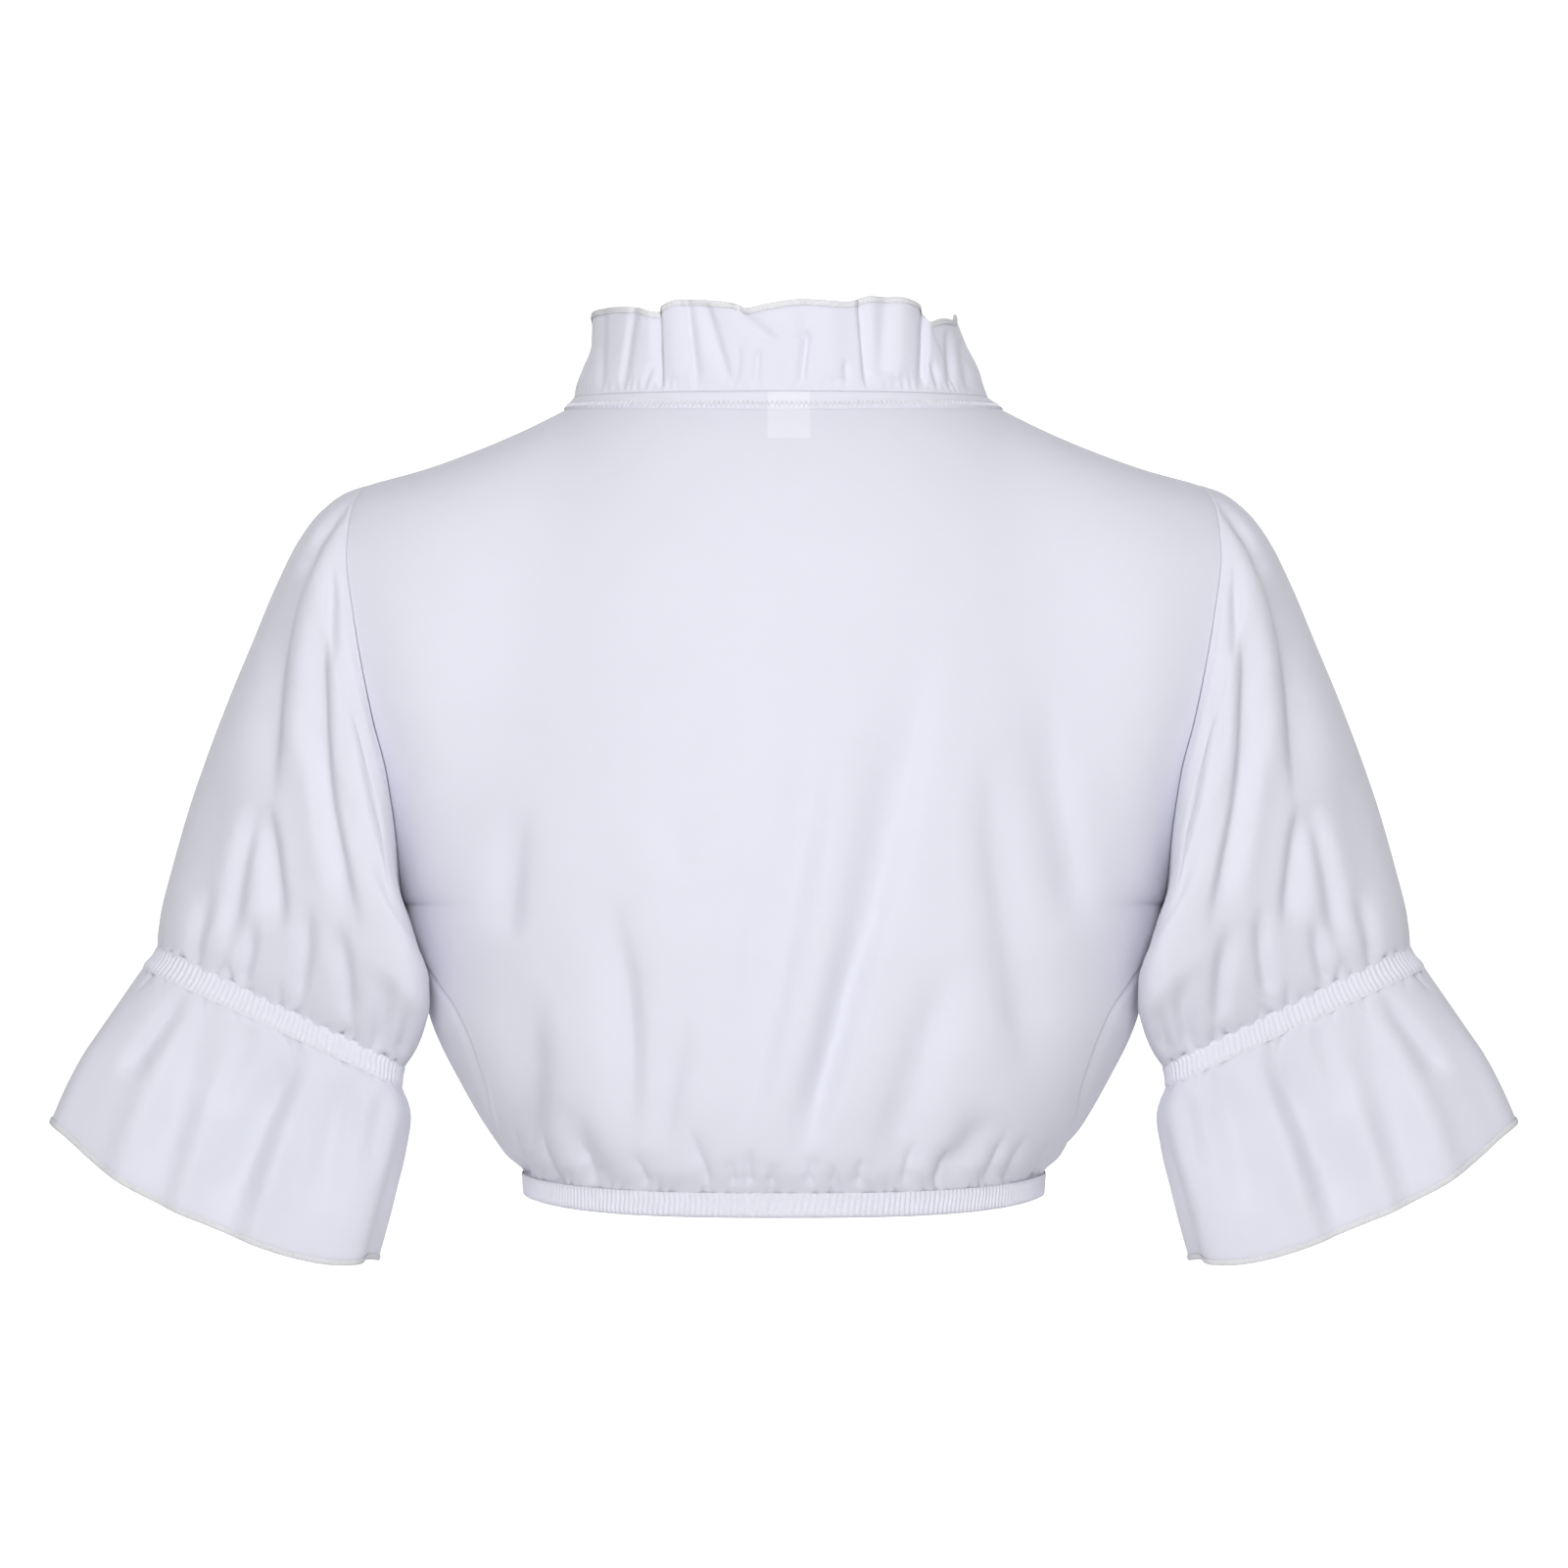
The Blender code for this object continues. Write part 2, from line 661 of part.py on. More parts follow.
def wall_faces(rows, columns, closed):
    """Triangles of a wall: outer grid, inner grid and the strips that join their edges."""
    count = rows * columns
    last = columns if closed else columns - 1
    faces = []
    for i in range(rows - 1):
        for j in range(last):
            a = i * columns + j
            b = i * columns + (j + 1) % columns
            c, d = b + columns, a + columns
            faces += [(a, b, c), (a, c, d)]
            faces += [(a + count, c + count, b + count), (a + count, d + count, c + count)]
    for j in range(last):
        a, b = j, (j + 1) % columns
        faces += [(a, a + count, b), (b, a + count, b + count)]
        a, b = a + (rows - 1) * columns, b + (rows - 1) * columns
        faces += [(a, b, a + count), (b, b + count, a + count)]
    if not closed:
        for i in range(rows - 1):
            a, b = i * columns, (i + 1) * columns
            faces += [(a, b, a + count), (b, b + count, a + count)]
            a, b = a + columns - 1, b + columns - 1
            faces += [(a, a + count, b), (b, a + count, b + count)]
    return faces


def piece_material(piece):
    material = bpy.data.materials.new(piece.name + "_cloth")
    material.use_nodes = True
    shader = material.node_tree.nodes["Principled BSDF"]
    shader.inputs["Base Color"].default_value = piece.colour
    shader.inputs["Roughness"].default_value = piece.roughness
    material.diffuse_color = piece.colour
    return material


def add_piece(piece, collection):
    rows, columns = piece.outer.shape[:2]
    points = np.concatenate([piece.outer.reshape(-1, 3), piece.inner.reshape(-1, 3)]) * MM
    mesh = bpy.data.meshes.new(piece.name)
    mesh.from_pydata(points.tolist(), [], wall_faces(rows, columns, piece.closed))
    mesh.materials.append(piece_material(piece))
    collection.objects.link(bpy.data.objects.new(piece.name, mesh))


def grid_point(points, row, place):
    """A point of a grid between its rows and columns."""
    i, j = int(row), int(place)
    f, g = row - i, place - j
    low = points[i, j] * (1 - g) + points[i, j + 1] * g
    high = points[min(i + 1, len(points) - 1)]
    return low * (1 - f) + (high[j] * (1 - g) + high[j + 1] * g) * f


def label_piece(back, band):
    """The label, from the inner faces of the back and the neckband, moved further in."""
    rows = []
    top_row = len(back.inner) - 1
    first = int(PANEL_COLUMNS * (1 - NECK_SHARE) / 2)
    for level in ("low", "row", "seam", "band"):
        points = []
        for place in LABEL_COLUMNS:
            if level == "low":
                points.append(grid_point(back.inner, LABEL_LOW_ROW, place))
            elif level == "row":
                points.append(grid_point(back.inner, top_row - 0.5, place))
            elif level == "seam":
                points.append(grid_point(back.inner, top_row, place))
            else:
                points.append(grid_point(band.inner, LABEL_BAND_SHARE, 2 * (place - first)))
        rows.append(points)
    grid = np.array(rows)
    normal = grid_normals(grid, False)
    inward = np.sign(np.sum(normal[..., 1])) * normal
    face = grid + inward * LABEL_CLEARANCE
    piece = Piece("neck_label", face, LABEL_WALL, LABEL_COLOUR, 0.7, False)
    piece.outer = face if np.sum(grid_normals(face, False)[..., 1]) < 0 else face[:, ::-1]
    piece.inner = piece.outer - grid_normals(piece.outer, False) * LABEL_WALL
    return piece


def main():
    for obj in list(bpy.data.objects):
        bpy.data.objects.remove(obj)
    collection = bpy.data.collections.new("blouse")
    bpy.context.scene.collection.children.link(collection)

    cloth = (CLOTH_COLOUR, 0.8)
    elastic = (ELASTIC_COLOUR, 0.85)
    back = Piece("back", panel_grid(BACK, BACK_FOLDS), CLOTH_WALL, *cloth, False)
    front = Piece("front", panel_grid(FRONT, FRONT_FOLDS), CLOTH_WALL, *cloth, False)
    band = Piece("neckband", neckband_grid(), CLOTH_WALL, *cloth, True, halfway=True)
    ruffle = Piece("collar_ruffle", ruffle_grid(), CLOTH_WALL, *cloth, True)
    casing = Piece("hem_casing", casing_grid(), BAND_WALL, *elastic, True)
    pieces = [back, front, band, ruffle, casing]
    for name, side in (("left", -1), ("right", 1)):
        grid = sleeve_grid(side)
        pieces.append(Piece("sleeve_" + name, grid, CLOTH_WALL, *cloth, True, halfway=True))
        grid = tube_grid(BAND_RINGS, side)
        pieces.append(Piece("sleeve_band_" + name, grid, BAND_WALL, *elastic, True))
        pieces.append(Piece("flounce_" + name, flounce_grid(side), CLOTH_WALL, *cloth, True))
    sew(pieces)
    for piece in pieces + [label_piece(back, band)]:
        add_piece(piece, collection)


main()
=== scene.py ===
"""Looks of a cropped blouse with a standing ruffle, puffed sleeves and elastic cuffs and hem.

Tables are in millimetres, meshes in metres. The camera looks along +Y at the blouse's back.
Each cloth piece is a fine shell on the form of its solid, with its creases placed one by one.
"""

import math
from typing import NamedTuple

import bpy
import numpy as np
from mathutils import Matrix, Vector

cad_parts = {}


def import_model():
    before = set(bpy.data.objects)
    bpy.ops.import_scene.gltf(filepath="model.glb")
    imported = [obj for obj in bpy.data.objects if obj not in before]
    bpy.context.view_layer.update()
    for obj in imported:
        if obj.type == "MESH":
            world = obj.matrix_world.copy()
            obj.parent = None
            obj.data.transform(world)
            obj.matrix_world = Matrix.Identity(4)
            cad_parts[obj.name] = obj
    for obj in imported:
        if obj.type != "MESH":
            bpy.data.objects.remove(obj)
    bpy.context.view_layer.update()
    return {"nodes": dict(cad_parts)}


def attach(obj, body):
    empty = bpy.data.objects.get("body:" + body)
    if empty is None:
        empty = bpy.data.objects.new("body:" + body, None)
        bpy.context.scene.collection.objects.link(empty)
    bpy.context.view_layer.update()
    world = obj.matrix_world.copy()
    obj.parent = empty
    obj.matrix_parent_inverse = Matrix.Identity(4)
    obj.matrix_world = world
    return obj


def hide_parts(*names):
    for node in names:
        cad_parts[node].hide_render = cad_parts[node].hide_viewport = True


MM = 0.001
BACK = -1
FRONT = 1

VIEW_DISTANCE = 2500.0
VIEW_HEIGHT = -175.7
FRAME_WIDTH = 720.5


class BodyRing(NamedTuple):
    """A level section of the body below the arms. Seam turn moves the side seam backwards."""

    height: float
    half_width: float
    back_depth: float
    front_depth: float
    seam_turn: float


BODY_RINGS = (
    BodyRing(-368, 119, 96, 98, 0),
    BodyRing(-359, 119.5, 97, 99, 0),
    BodyRing(-346, 128, 107, 110, 8),
    BodyRing(-328, 139.5, 113, 118, 20),
    BodyRing(-310, 149.5, 116, 124, 27),
    BodyRing(-292, 158.6, 117, 127, 29),
    BodyRing(-281, 162.6, 116.5, 127.5, 28),
    BodyRing(-262, 166.5, 115, 128, 18),
    BodyRing(-246, 170.5, 113.5, 127.5, 5),
    BodyRing(-230, 174, 112, 126, 0),
)
HEM = -368.0
HEM_SEAM = -359.0
UNDERARM = -230.0
BODY_ROUNDNESS = 0.87
SHOULDER_ROUNDNESS = 0.83
NECK_SHARE = 0.5
SHOULDER_TURN = 1.3
ARMHOLE_REACH = 0.6

SHOULDER_X = (101, 119, 140, 165, 191)
SHOULDER_Z = (-4.5, -13.5, -22.5, -31.5, -38.5)
ARMHOLE_Z = (-230, -205, -172, -147, -120, -100, -70, -52, -38.5)
ARMHOLE_X = (174, 174.5, 178, 184, 189.5, 193, 197, 196, 191)
ARMHOLE_DEPTH = {BACK: 64.0, FRONT: 56.0}
ARMHOLE_ROUNDNESS = 0.86
CORNER_PASSES = 1500
# The creases are pressed deeper and wider than their tables say.
BACK_DEEPER = 1.35
ARM_DEEPER = 1.35
HEM_DEEPER = 1.7
WIDER = 1.25
# How far the bottom of a fine line is rounded.
LINE_ROUND = 0.5
CUFF_ROUND = 340.0
HEM_LIFT = 3.5
HEM_HALF = 119.0


class NeckRing(NamedTuple):
    """A closed ring round the neck."""

    half_left: float
    half_right: float
    back_depth: float
    front_depth: float
    side_z: float
    back_z: float
    front_z: float


NECKLINE = NeckRing(101, 101, 62, 92, -4.5, -8, -95)
BAND_TOP = NeckRing(96.5, 94, 59.5, 89, 1.5, 0.8, -87)
RUFFLE_RINGS = (
    NeckRing(96.5, 94, 59.5, 89, 1.5, 0.8, -87),
    NeckRing(95.5, 92, 59, 88, 7, 6.5, -81),
    NeckRing(92.5, 89.5, 58.5, 87, 15, 14.5, -73),
    NeckRing(88.5, 84, 58, 85, 26, 26, -62),
    NeckRing(88, 78.5, 58, 84, 40, 40, -49),
)
FRONT_NECK_ROUNDNESS = 0.9
FRONT_NECK_DROP = 1.3


class TubeRing(NamedTuple):
    """A section of a sleeve: its outermost and innermost points as seen, and its half depth.

    The innermost point lies set_back nearer to the camera, where the sleeve laps over the body.
    """

    outer_x: float
    outer_z: float
    inner_x: float
    inner_z: float
    half_depth: float
    set_back: float


SLEEVE_RINGS = (
    TubeRing(191, -38.5, 174, -230, 57, 0),
    TubeRing(201, -42, 172.6, -234, 59, 10),
    TubeRing(213, -51, 171.4, -238, 59, 19),
    TubeRing(223, -64, 170.4, -242, 57, 27),
    TubeRing(234, -86, 169.2, -246, 53.5, 34),
    TubeRing(244, -110, 167.8, -251, 50.5, 39),
    TubeRing(254, -134, 165.3, -257, 48, 43),
    TubeRing(264, -160, 163, -266, 46.5, 44),
    TubeRing(273, -186, 162.7, -277, 45.5, 42),
    TubeRing(280.5, -212, 165, -288, 44.5, 33),
    TubeRing(286.5, -236, 169.5, -299, 43, 20),
    TubeRing(288.5, -252, 174.5, -306.5, 38, 13),
)
BAND_RINGS = (
    TubeRing(288.5, -252, 174.5, -306.5, 38, 13),
    TubeRing(293.5, -258.5, 175.5, -313.5, 38, 13),
)
FLOUNCE_RINGS = (
    TubeRing(293.5, -258.5, 175.5, -313.5, 38, 13),
    TubeRing(303, -272, 171.5, -328, 38.5, 10),
    TubeRing(313, -286.5, 174.5, -345, 39, 6),
    TubeRing(322, -300, 179, -361, 40.5, 4),
    TubeRing(330, -315, 183.5, -378, 42, 2),
    TubeRing(337, -331, 188, -394, 43, 0),
)
SLEEVE_LEAN = 0.0036
FLOUNCE_SAG = 17.0
SLEEVE_ROUNDNESS = {BACK: 0.62, FRONT: 0.9}
CAP_HOLD = (1, 0.8, 0.6, 0.4, 0.2, 0, 0, 0, 0, 0, 0, 0)
# Rows through the sections round a sleeve's band, and the part of them that the band covers.
BAND_ROWS = 60
BAND_SPAN = (0.78, 2.22)


class Pleats(NamedTuple):
    """Fine pleats at an elastic. The seed sets their uneven places, lengths and depths."""

    count: int
    longest: float
    deepest: float
    seed: float


HEM_PLEATS = {BACK: Pleats(66, 14, 1.9, 2), FRONT: Pleats(66, 14, 1.9, 4)}
SLEEVE_PLEATS = Pleats(42, 24, 2.6, 5)
FLOUNCE_PLEATS = Pleats(46, 20, 1.5, 9)
FLOUNCE_WAVES = 11


class Ribs(NamedTuple):
    """Shirring ribs of an elastic: their number, middle height, wave height and seed."""

    count: int
    height: float
    wave: float
    seed: float


SLEEVE_RIBS = Ribs(134, 0.5, 0.3, 4)
HEM_RIBS = Ribs(296, 0.55, 0.35, 1)
RIB_SINK = 0.2


class Crease(NamedTuple):
    """A trough along a bent line, in the photo's plane. Skew makes one side of it steeper."""

    x0: float
    z0: float
    x1: float
    z1: float
    x2: float
    z2: float
    wide_top: float
    wide_low: float
    depth: float
    skew: float = 0.0


BACK_CREASES = (
    Crease(17, -105, 7, -214, -22, -350, 9, 6, 2.4, 0.2),
    Crease(-6, -195, -14, -250, -23, -300, 6, 5, 1.2, 0.0),
    Crease(69, -92, 45, -215, 6, -362, 11, 6, 4.4, 0.3),
    Crease(40, -228, 27, -275, 8, -350, 5, 4, 1.8, 0.3),
    Crease(79, -250, 66, -296, 46, -360, 9, 9, 3.4, 0.0),
    Crease(96, -145, 101, -220, 118, -318, 9, 10, 3.0, -0.2),
    Crease(118, -122, 127, -180, 138, -245, 8, 8, 2.8, 0.2),
    Crease(-119, -182, -125, -214, -127, -250, 6, 7, 2.4, 0.2),
    Crease(-119, -262, -118, -305, -121, -346, 10, 9, 4.0, 0.2),
    Crease(-101, -318, -94, -342, -79, -362, 7, 5, 2.4, 0.0),
    Crease(-85, -222, -72, -275, -73, -345, 7, 7, 2.8, 0.3),
    Crease(-56, -184, -51, -202, -45, -220, 8, 7, 1.4, 0.0),
    Crease(-40, -255, -50, -300, -57, -345, 8, 6, 2.2, 0.2),
    Crease(30, -130, 22, -230, 0, -330, 12, 10, -1.8, 0.0),
    Crease(-60, -170, -56, -240, -44, -310, 16, 12, -1.6, 0.0),
    Crease(99, -322, 88, -341, 70, -360, 8, 5, 3.2, 0.0),
)
HEM_CREASES = (
    Crease(-129, -330, -123, -346, -117, -360, 3.0, 1.8, 1.8),
    Crease(-113, -331, -109, -350, -101, -361, 3.4, 2.0, 2.0),
    Crease(-97, -338, -92, -350, -87, -361, 3.0, 1.8, 1.6),
    Crease(-70, -344, -66, -353, -62, -361, 2.6, 1.6, 1.3),
    Crease(-46, -330, -39, -347, -34, -361, 3.4, 1.8, 2.0),
    Crease(-26, -346, -24, -354, -23, -361, 2.4, 1.6, 1.2),
    Crease(-17, -341, -16, -352, -16, -361, 2.8, 1.6, 1.6),
    Crease(-5, -348, -5, -355, -6, -361, 2.2, 1.5, 1.1),
    Crease(15, -344, 13, -353, 11, -361, 2.8, 1.6, 1.4),
    Crease(24, -349, 23, -355, 22, -361, 2.2, 1.5, 1.0),
    Crease(37, -346, 35, -354, 34, -361, 2.6, 1.6, 1.4),
    Crease(62, -338, 58, -350, 55, -361, 3.0, 1.8, 1.6),
    Crease(79, -341, 74, -352, 69, -361, 2.8, 1.6, 1.5),
    Crease(105, -331, 99, -348, 91, -361, 3.4, 2.0, 2.0),
    Crease(113, -334, 107, -350, 101, -361, 3.2, 1.8, 1.8),
    Crease(122, -338, 118, -352, 112, -361, 2.8, 1.8, 1.5),
)
FRONT_CREASES = (
    Crease(-104, -140, -98, -240, -84, -350, 10, 8, 3.2, 0.2),
    Crease(-52, -180, -50, -270, -42, -352, 9, 7, 2.8, 0.0),
    Crease(6, -150, 4, -250, -6, -354, 10, 8, 2.8, 0.2),
    Crease(58, -190, 60, -280, 50, -352, 9, 8, 3.0, 0.0),
    Crease(108, -150, 104, -250, 92, -350, 10, 8, 3.4, 0.2),
    Crease(-24, -230, -22, -290, -26, -350, 7, 6, 1.8, 0.0),
    Crease(30, -240, 30, -300, 24, -350, 7, 6, 1.8, 0.0),
)
SLEEVE_CREASES = (
    Crease(196, -45, 211, -58, 226, -84, 2.2, 3.0, 3.0, 0.0),
    Crease(214, -78, 222, -118, 226, -176, 4, 5, -1.4, 0.0),
    Crease(211, -66, 230, -104, 236, -188, 5, 6.5, 3.4, -0.5),
    Crease(206, -68, 208, -92, 207, -124, 2.0, 2.6, 2.0, 0.0),
    Crease(207, -78, 213, -150, 196, -244, 3.5, 4.5, 4.2, -0.3),
    Crease(219, -128, 216, -175, 207, -232, 5, 6, -1.6, 0.0),
    Crease(203, -94, 196, -172, 175, -240, 3.5, 5, 3.0, 0.4),
    Crease(199, -110, 206, -175, 188, -244, 4, 5, -1.2, 0.0),
    Crease(240, -181, 236, -203, 231, -244, 4.5, 4, 3.4, -0.3),
    Crease(241, -182, 249, -208, 256, -254, 2.8, 4, 2.8, 0.0),
    Crease(256, -146, 264, -190, 273, -238, 8, 8, 1.6, 0.0),
    Crease(221, -226, 220, -250, 224, -278, 3.2, 2.6, 2.2, 0.0),
    Crease(208, -236, 203, -258, 200, -286, 4, 2.8, 2.4, 0.0),
    Crease(264, -220, 268, -238, 272, -258, 4, 2.6, 2.0, 0.0),
    Crease(245, -234, 246, -252, 250, -270, 3, 2.4, 2.0, 0.0),
    Crease(187, -258, 184, -280, 189, -299, 4.5, 3, 2.6, 0.0),
    Crease(176, -272, 173, -288, 177, -302, 4, 3, 2.2, 0.0),
)
FLOUNCE_CREASES = (
    Crease(272, -268, 287, -287, 306, -311, 3, 5, 2.6, 0.2),
    Crease(262, -272, 274, -305, 291, -360, 4, 8, 1.9, 0.0),
    Crease(219, -297, 236, -326, 259, -384, 5, 9, 4.2, -0.3),
    Crease(212, -300, 226, -330, 244, -388, 4, 7, -1.6, 0.0),
    Crease(196, -306, 205, -328, 213, -374, 4, 7, 2.2, 0.0),
    Crease(243, -286, 250, -300, 262, -330, 3, 5, 1.6, 0.0),
    Crease(183, -314, 186, -330, 191, -360, 3, 5, 1.6, 0.0),
)


class RuffleCrease(NamedTuple):
    """A fold of the ruffle between two heights above its band."""

    low_x: float
    low: float
    high_x: float
    high: float
    half_width: float
    depth: float
    skew: float = 0.0


RUFFLE_CREASES = (
    RuffleCrease(-84, -4, -83, 46, 2.0, 1.2),
    RuffleCrease(-75.6, -4, -68, 46, 2.0, 1.8, 0.3),
    RuffleCrease(-66, -2, -60, 16, 1.8, 1.4),
    RuffleCrease(-56.5, -4, -58, 48, 1.9, 4.2, -0.4),
    RuffleCrease(-39.5, -4, -46, 46, 2.2, 2.6, 0.3),
    RuffleCrease(-23, -2, -37, 40, 3.6, 2.6, -0.3),
    RuffleCrease(-22.6, -2, -20.5, 22, 1.6, 1.6),
    RuffleCrease(-4, 22, -26, 44, 3.2, 2.6),
    RuffleCrease(-13.4, -2, -11.6, 20, 1.6, 1.8),
    RuffleCrease(7.5, -3, 11.5, 26, 1.8, 3.0, -0.3),
    RuffleCrease(8, 20, 12, 46, 4.0, 1.2),
    RuffleCrease(29.5, -3, 28.5, 14, 1.6, 2.0),
    RuffleCrease(38.8, -4, 34.4, 46, 2.2, 3.8, 0.4),
    RuffleCrease(45, 6, 48, 44, 4.0, 2.0),
    RuffleCrease(64.5, -3, 66.5, 48, 1.8, 4.6, -0.5),
    RuffleCrease(73, -3, 68, 14, 1.6, 2.0),
    RuffleCrease(77, -3, 76, 34, 2.0, 2.2),
    RuffleCrease(86, -3, 82, 30, 2.2, 2.0),
    RuffleCrease(-50, 4, -52, 44, 5.0, -1.4),
    RuffleCrease(52, 4, 56, 44, 6.0, -1.8),
    RuffleCrease(22, 4, 22, 44, 6.0, -1.2),
)
RUFFLE_TOP_X = (-96, -81, -68, -59, -56, -48, -33, -22, -18, -7, 9, 29, 40, 51, 62, 66, 67, 72, 76, 80, 96)
RUFFLE_TOP_Z = (0, 1, 0, -2.5, 0, 2.5, 1.6, 0, -2, 0, 2, 1, 4, 4, 1.6, -1.5, -6, -4, -3.5, -5, -8)
FRONT_RUFFLE_WAVES = 15
FRONT_RUFFLE_SWELL = 3.0
RUFFLE_HEIGHT = 40
RUFFLE_SHARE = 0.8
FINE_TURNS = 2000

# Mesh divisions of the panels: columns, then rows below and above the underarm.
BACK_MESH = (480, 110, 88)
FRONT_MESH = (240, 84, 84)
# Rows and columns of the tubes and rings.
NECKBAND_MESH = (8, 480)
RUFFLE_MESH = (40, 800)
CASING_MESH = (10, 2368)
SLEEVE_MESH = (150, 290)
FLOUNCE_MESH = (52, 380)
CUFF_COLUMNS = 944

# The floor and its upward bend behind the blouse, in metres.
FLOOR_Z = -0.60
SWEEP_HALF = 4.0
SWEEP_FRONT = -4.0
SWEEP_BEND = 2.6
SWEEP_RADIUS = 0.7
SWEEP_TOP = 2.6
# Each light's name, place, size and watts, and the point that they face, in metres.
LIGHTS = (
    ("key", (-0.06, -2.3, 0.75), (1.3, 1.0), 38),
    ("top", (0.1, -0.9, 1.9), (1.6, 1.0), 6),
)
LIGHT_TARGET = (0, 0, -0.17)
WORLD_STRENGTH = 0.22
SENSOR = 36
CAMERA_X = 0.0001

CLOTH = (0.79, 0.79, 0.885, 1.0)
ELASTIC = (0.82, 0.82, 0.91, 1.0)
THREAD = (0.86, 0.86, 0.9, 1.0)
EDGING = (0.85, 0.85, 0.88, 1.0)
LABEL = (0.85, 0.85, 0.915, 1.0)
PATCH = (0.81, 0.81, 0.896, 1.0)
# The sides of the label's patch in metres: axis, place and the way in, and how soft they are.
PATCH_SIDES = (("X", -0.0072, 1), ("X", 0.0118, -1), ("Z", -0.0212, 1), ("Z", 0.0015, -1), ("Y", 0.0, -1))
PATCH_BLUR = 0.0004


def between(knots, values, at):
    """Smooth values between the rows of a table, with no overshoot."""
    knots, values = np.asarray(knots, float), np.asarray(values, float)
    at = np.clip(np.asarray(at, float), knots[0], knots[-1])
    step = np.diff(knots)
    slope = np.diff(values) / step
    tangent = np.concatenate([slope[:1], np.zeros(len(slope) - 1), slope[-1:]])
    rising = slope[1:] * slope[:-1] > 0
    total = np.where(rising, slope[1:] + slope[:-1], 1)
    tangent[1:-1] = np.where(rising, 2 * slope[1:] * slope[:-1] / total, 0)
    k = np.clip(np.searchsorted(knots, at, side="right") - 1, 0, len(step) - 1)
    f = (at - knots[k]) / step[k]
    return (
        values[k] * (1 + 2 * f) * (1 - f) ** 2
        + values[k + 1] * f**2 * (3 - 2 * f)
        + step[k] * f * (1 - f) * (tangent[k] * (1 - f) - tangent[k + 1] * f)
    )


def ease(value):
    """0 below 0, 1 above 1, and a soft rise between."""
    value = np.clip(value, 0, 1)
    return value * value * (3 - 2 * value)


def power(value, exponent):
    return np.sign(value) * np.abs(value) ** exponent


def unit(vectors):
    return vectors / np.maximum(np.linalg.norm(vectors, axis=-1, keepdims=True), 1e-9)


def column(table, name):
    return [getattr(row, name) for row in table]


def uneven(at, seed):
    """A smooth wandering value from -1 to 1, the same each run."""
    return (
        np.sin(at * 1.0 + seed)
        + 0.6 * np.sin(at * 2.3 + 2.1 * seed)
        + 0.4 * np.sin(at * 4.1 + 3.7 * seed)
    ) / 2


def lift_hem(grid):
    """Raises the hem a little at the sides, where the elastic rides up."""
    near = np.exp(-np.maximum(grid[..., 2] - HEM_SEAM, 0) / 14)
    grid[..., 2] += HEM_LIFT * near * np.minimum(np.abs(grid[..., 0]) / HEM_HALF, 1) ** 4
    return grid


def grid_normals(grid, closed):
    """Normals of a grid that point out of the body, by the central differences of its points."""
    if closed:
        across = np.roll(grid, -1, axis=1) - np.roll(grid, 1, axis=1)
    else:
        across = np.gradient(grid, axis=1)
    normal = unit(np.cross(across, np.gradient(grid, axis=0)))
    if np.sum(normal * (grid - grid.mean((0, 1)))) < 0:
        normal = -normal
    return normal


def seen(points):
    """Where points appear in the photo, across and up, at the scale of the plane y = 0."""
    scale = VIEW_DISTANCE / (VIEW_DISTANCE + points[..., 1])
    return points[..., 0] * scale, VIEW_HEIGHT + (points[..., 2] - VIEW_HEIGHT) * scale


def unseen(x, y, z):
    """The points at depth y that appear at x, z in the photo."""
    scale = VIEW_DISTANCE / (VIEW_DISTANCE + y)
    return np.stack([x / scale, y, VIEW_HEIGHT + (z - VIEW_HEIGHT) / scale], axis=-1)


def crease_line(crease, steps=10):
    """Points along the bent line through a crease's three points."""
    t = np.linspace(0, 1, steps + 1)
    weights = np.stack([(1 - t) * (1 - 2 * t), 4 * t * (1 - t), t * (2 * t - 1)], axis=1)
    places = ((crease.x0, crease.z0), (crease.x1, crease.z1), (crease.x2, crease.z2))
    return weights @ np.array(places, float)


def valley(far, wide, sharp):
    """The cross-section of a crease: a soft trough, or a fine line with soft shoulders."""
    if sharp:
        return np.exp(-(np.sqrt(far**2 + LINE_ROUND**2) - LINE_ROUND) / wide)
    return np.exp(-((far / wide) ** 2))


def press(creases, x, z, sharp=False):
    """How deep the creases of a table press at these places."""
    depth = np.zeros(x.shape)
    for crease in creases:
        line = crease_line(crease)
        reach = 4 * max(crease.wide_top, crease.wide_low)
        low, high = line.min(0) - reach, line.max(0) + reach
        near = (x > low[0]) & (x < high[0]) & (z > low[1]) & (z < high[1])
        if not near.any():
            continue
        p = np.stack([x[near], z[near]], axis=-1)[:, None]
        a, b = line[None, :-1], line[None, 1:]
        t = np.clip(np.sum((p - a) * (b - a), -1) / np.sum((b - a) ** 2, -1), 0, 1)
        off = p - a - t[..., None] * (b - a)
        far = np.sqrt(np.sum(off**2, -1))
        best = np.argmin(far, axis=1)
        pick = np.arange(len(best))
        along = (best + t[pick, best]) / (len(line) - 1)
        way = (b - a)[0, best]
        side = np.sign(off[pick, best, 0] * way[:, 1] - off[pick, best, 1] * way[:, 0])
        wide = WIDER * (crease.wide_top + (crease.wide_low - crease.wide_top) * along)
        wide = wide * (1 + crease.skew * side)
        fade = ease(along / 0.5) * ease((1 - along) / 0.22 + 0.1)
        depth[near] += crease.depth * fade * valley(far[pick, best], wide, sharp)
    return depth


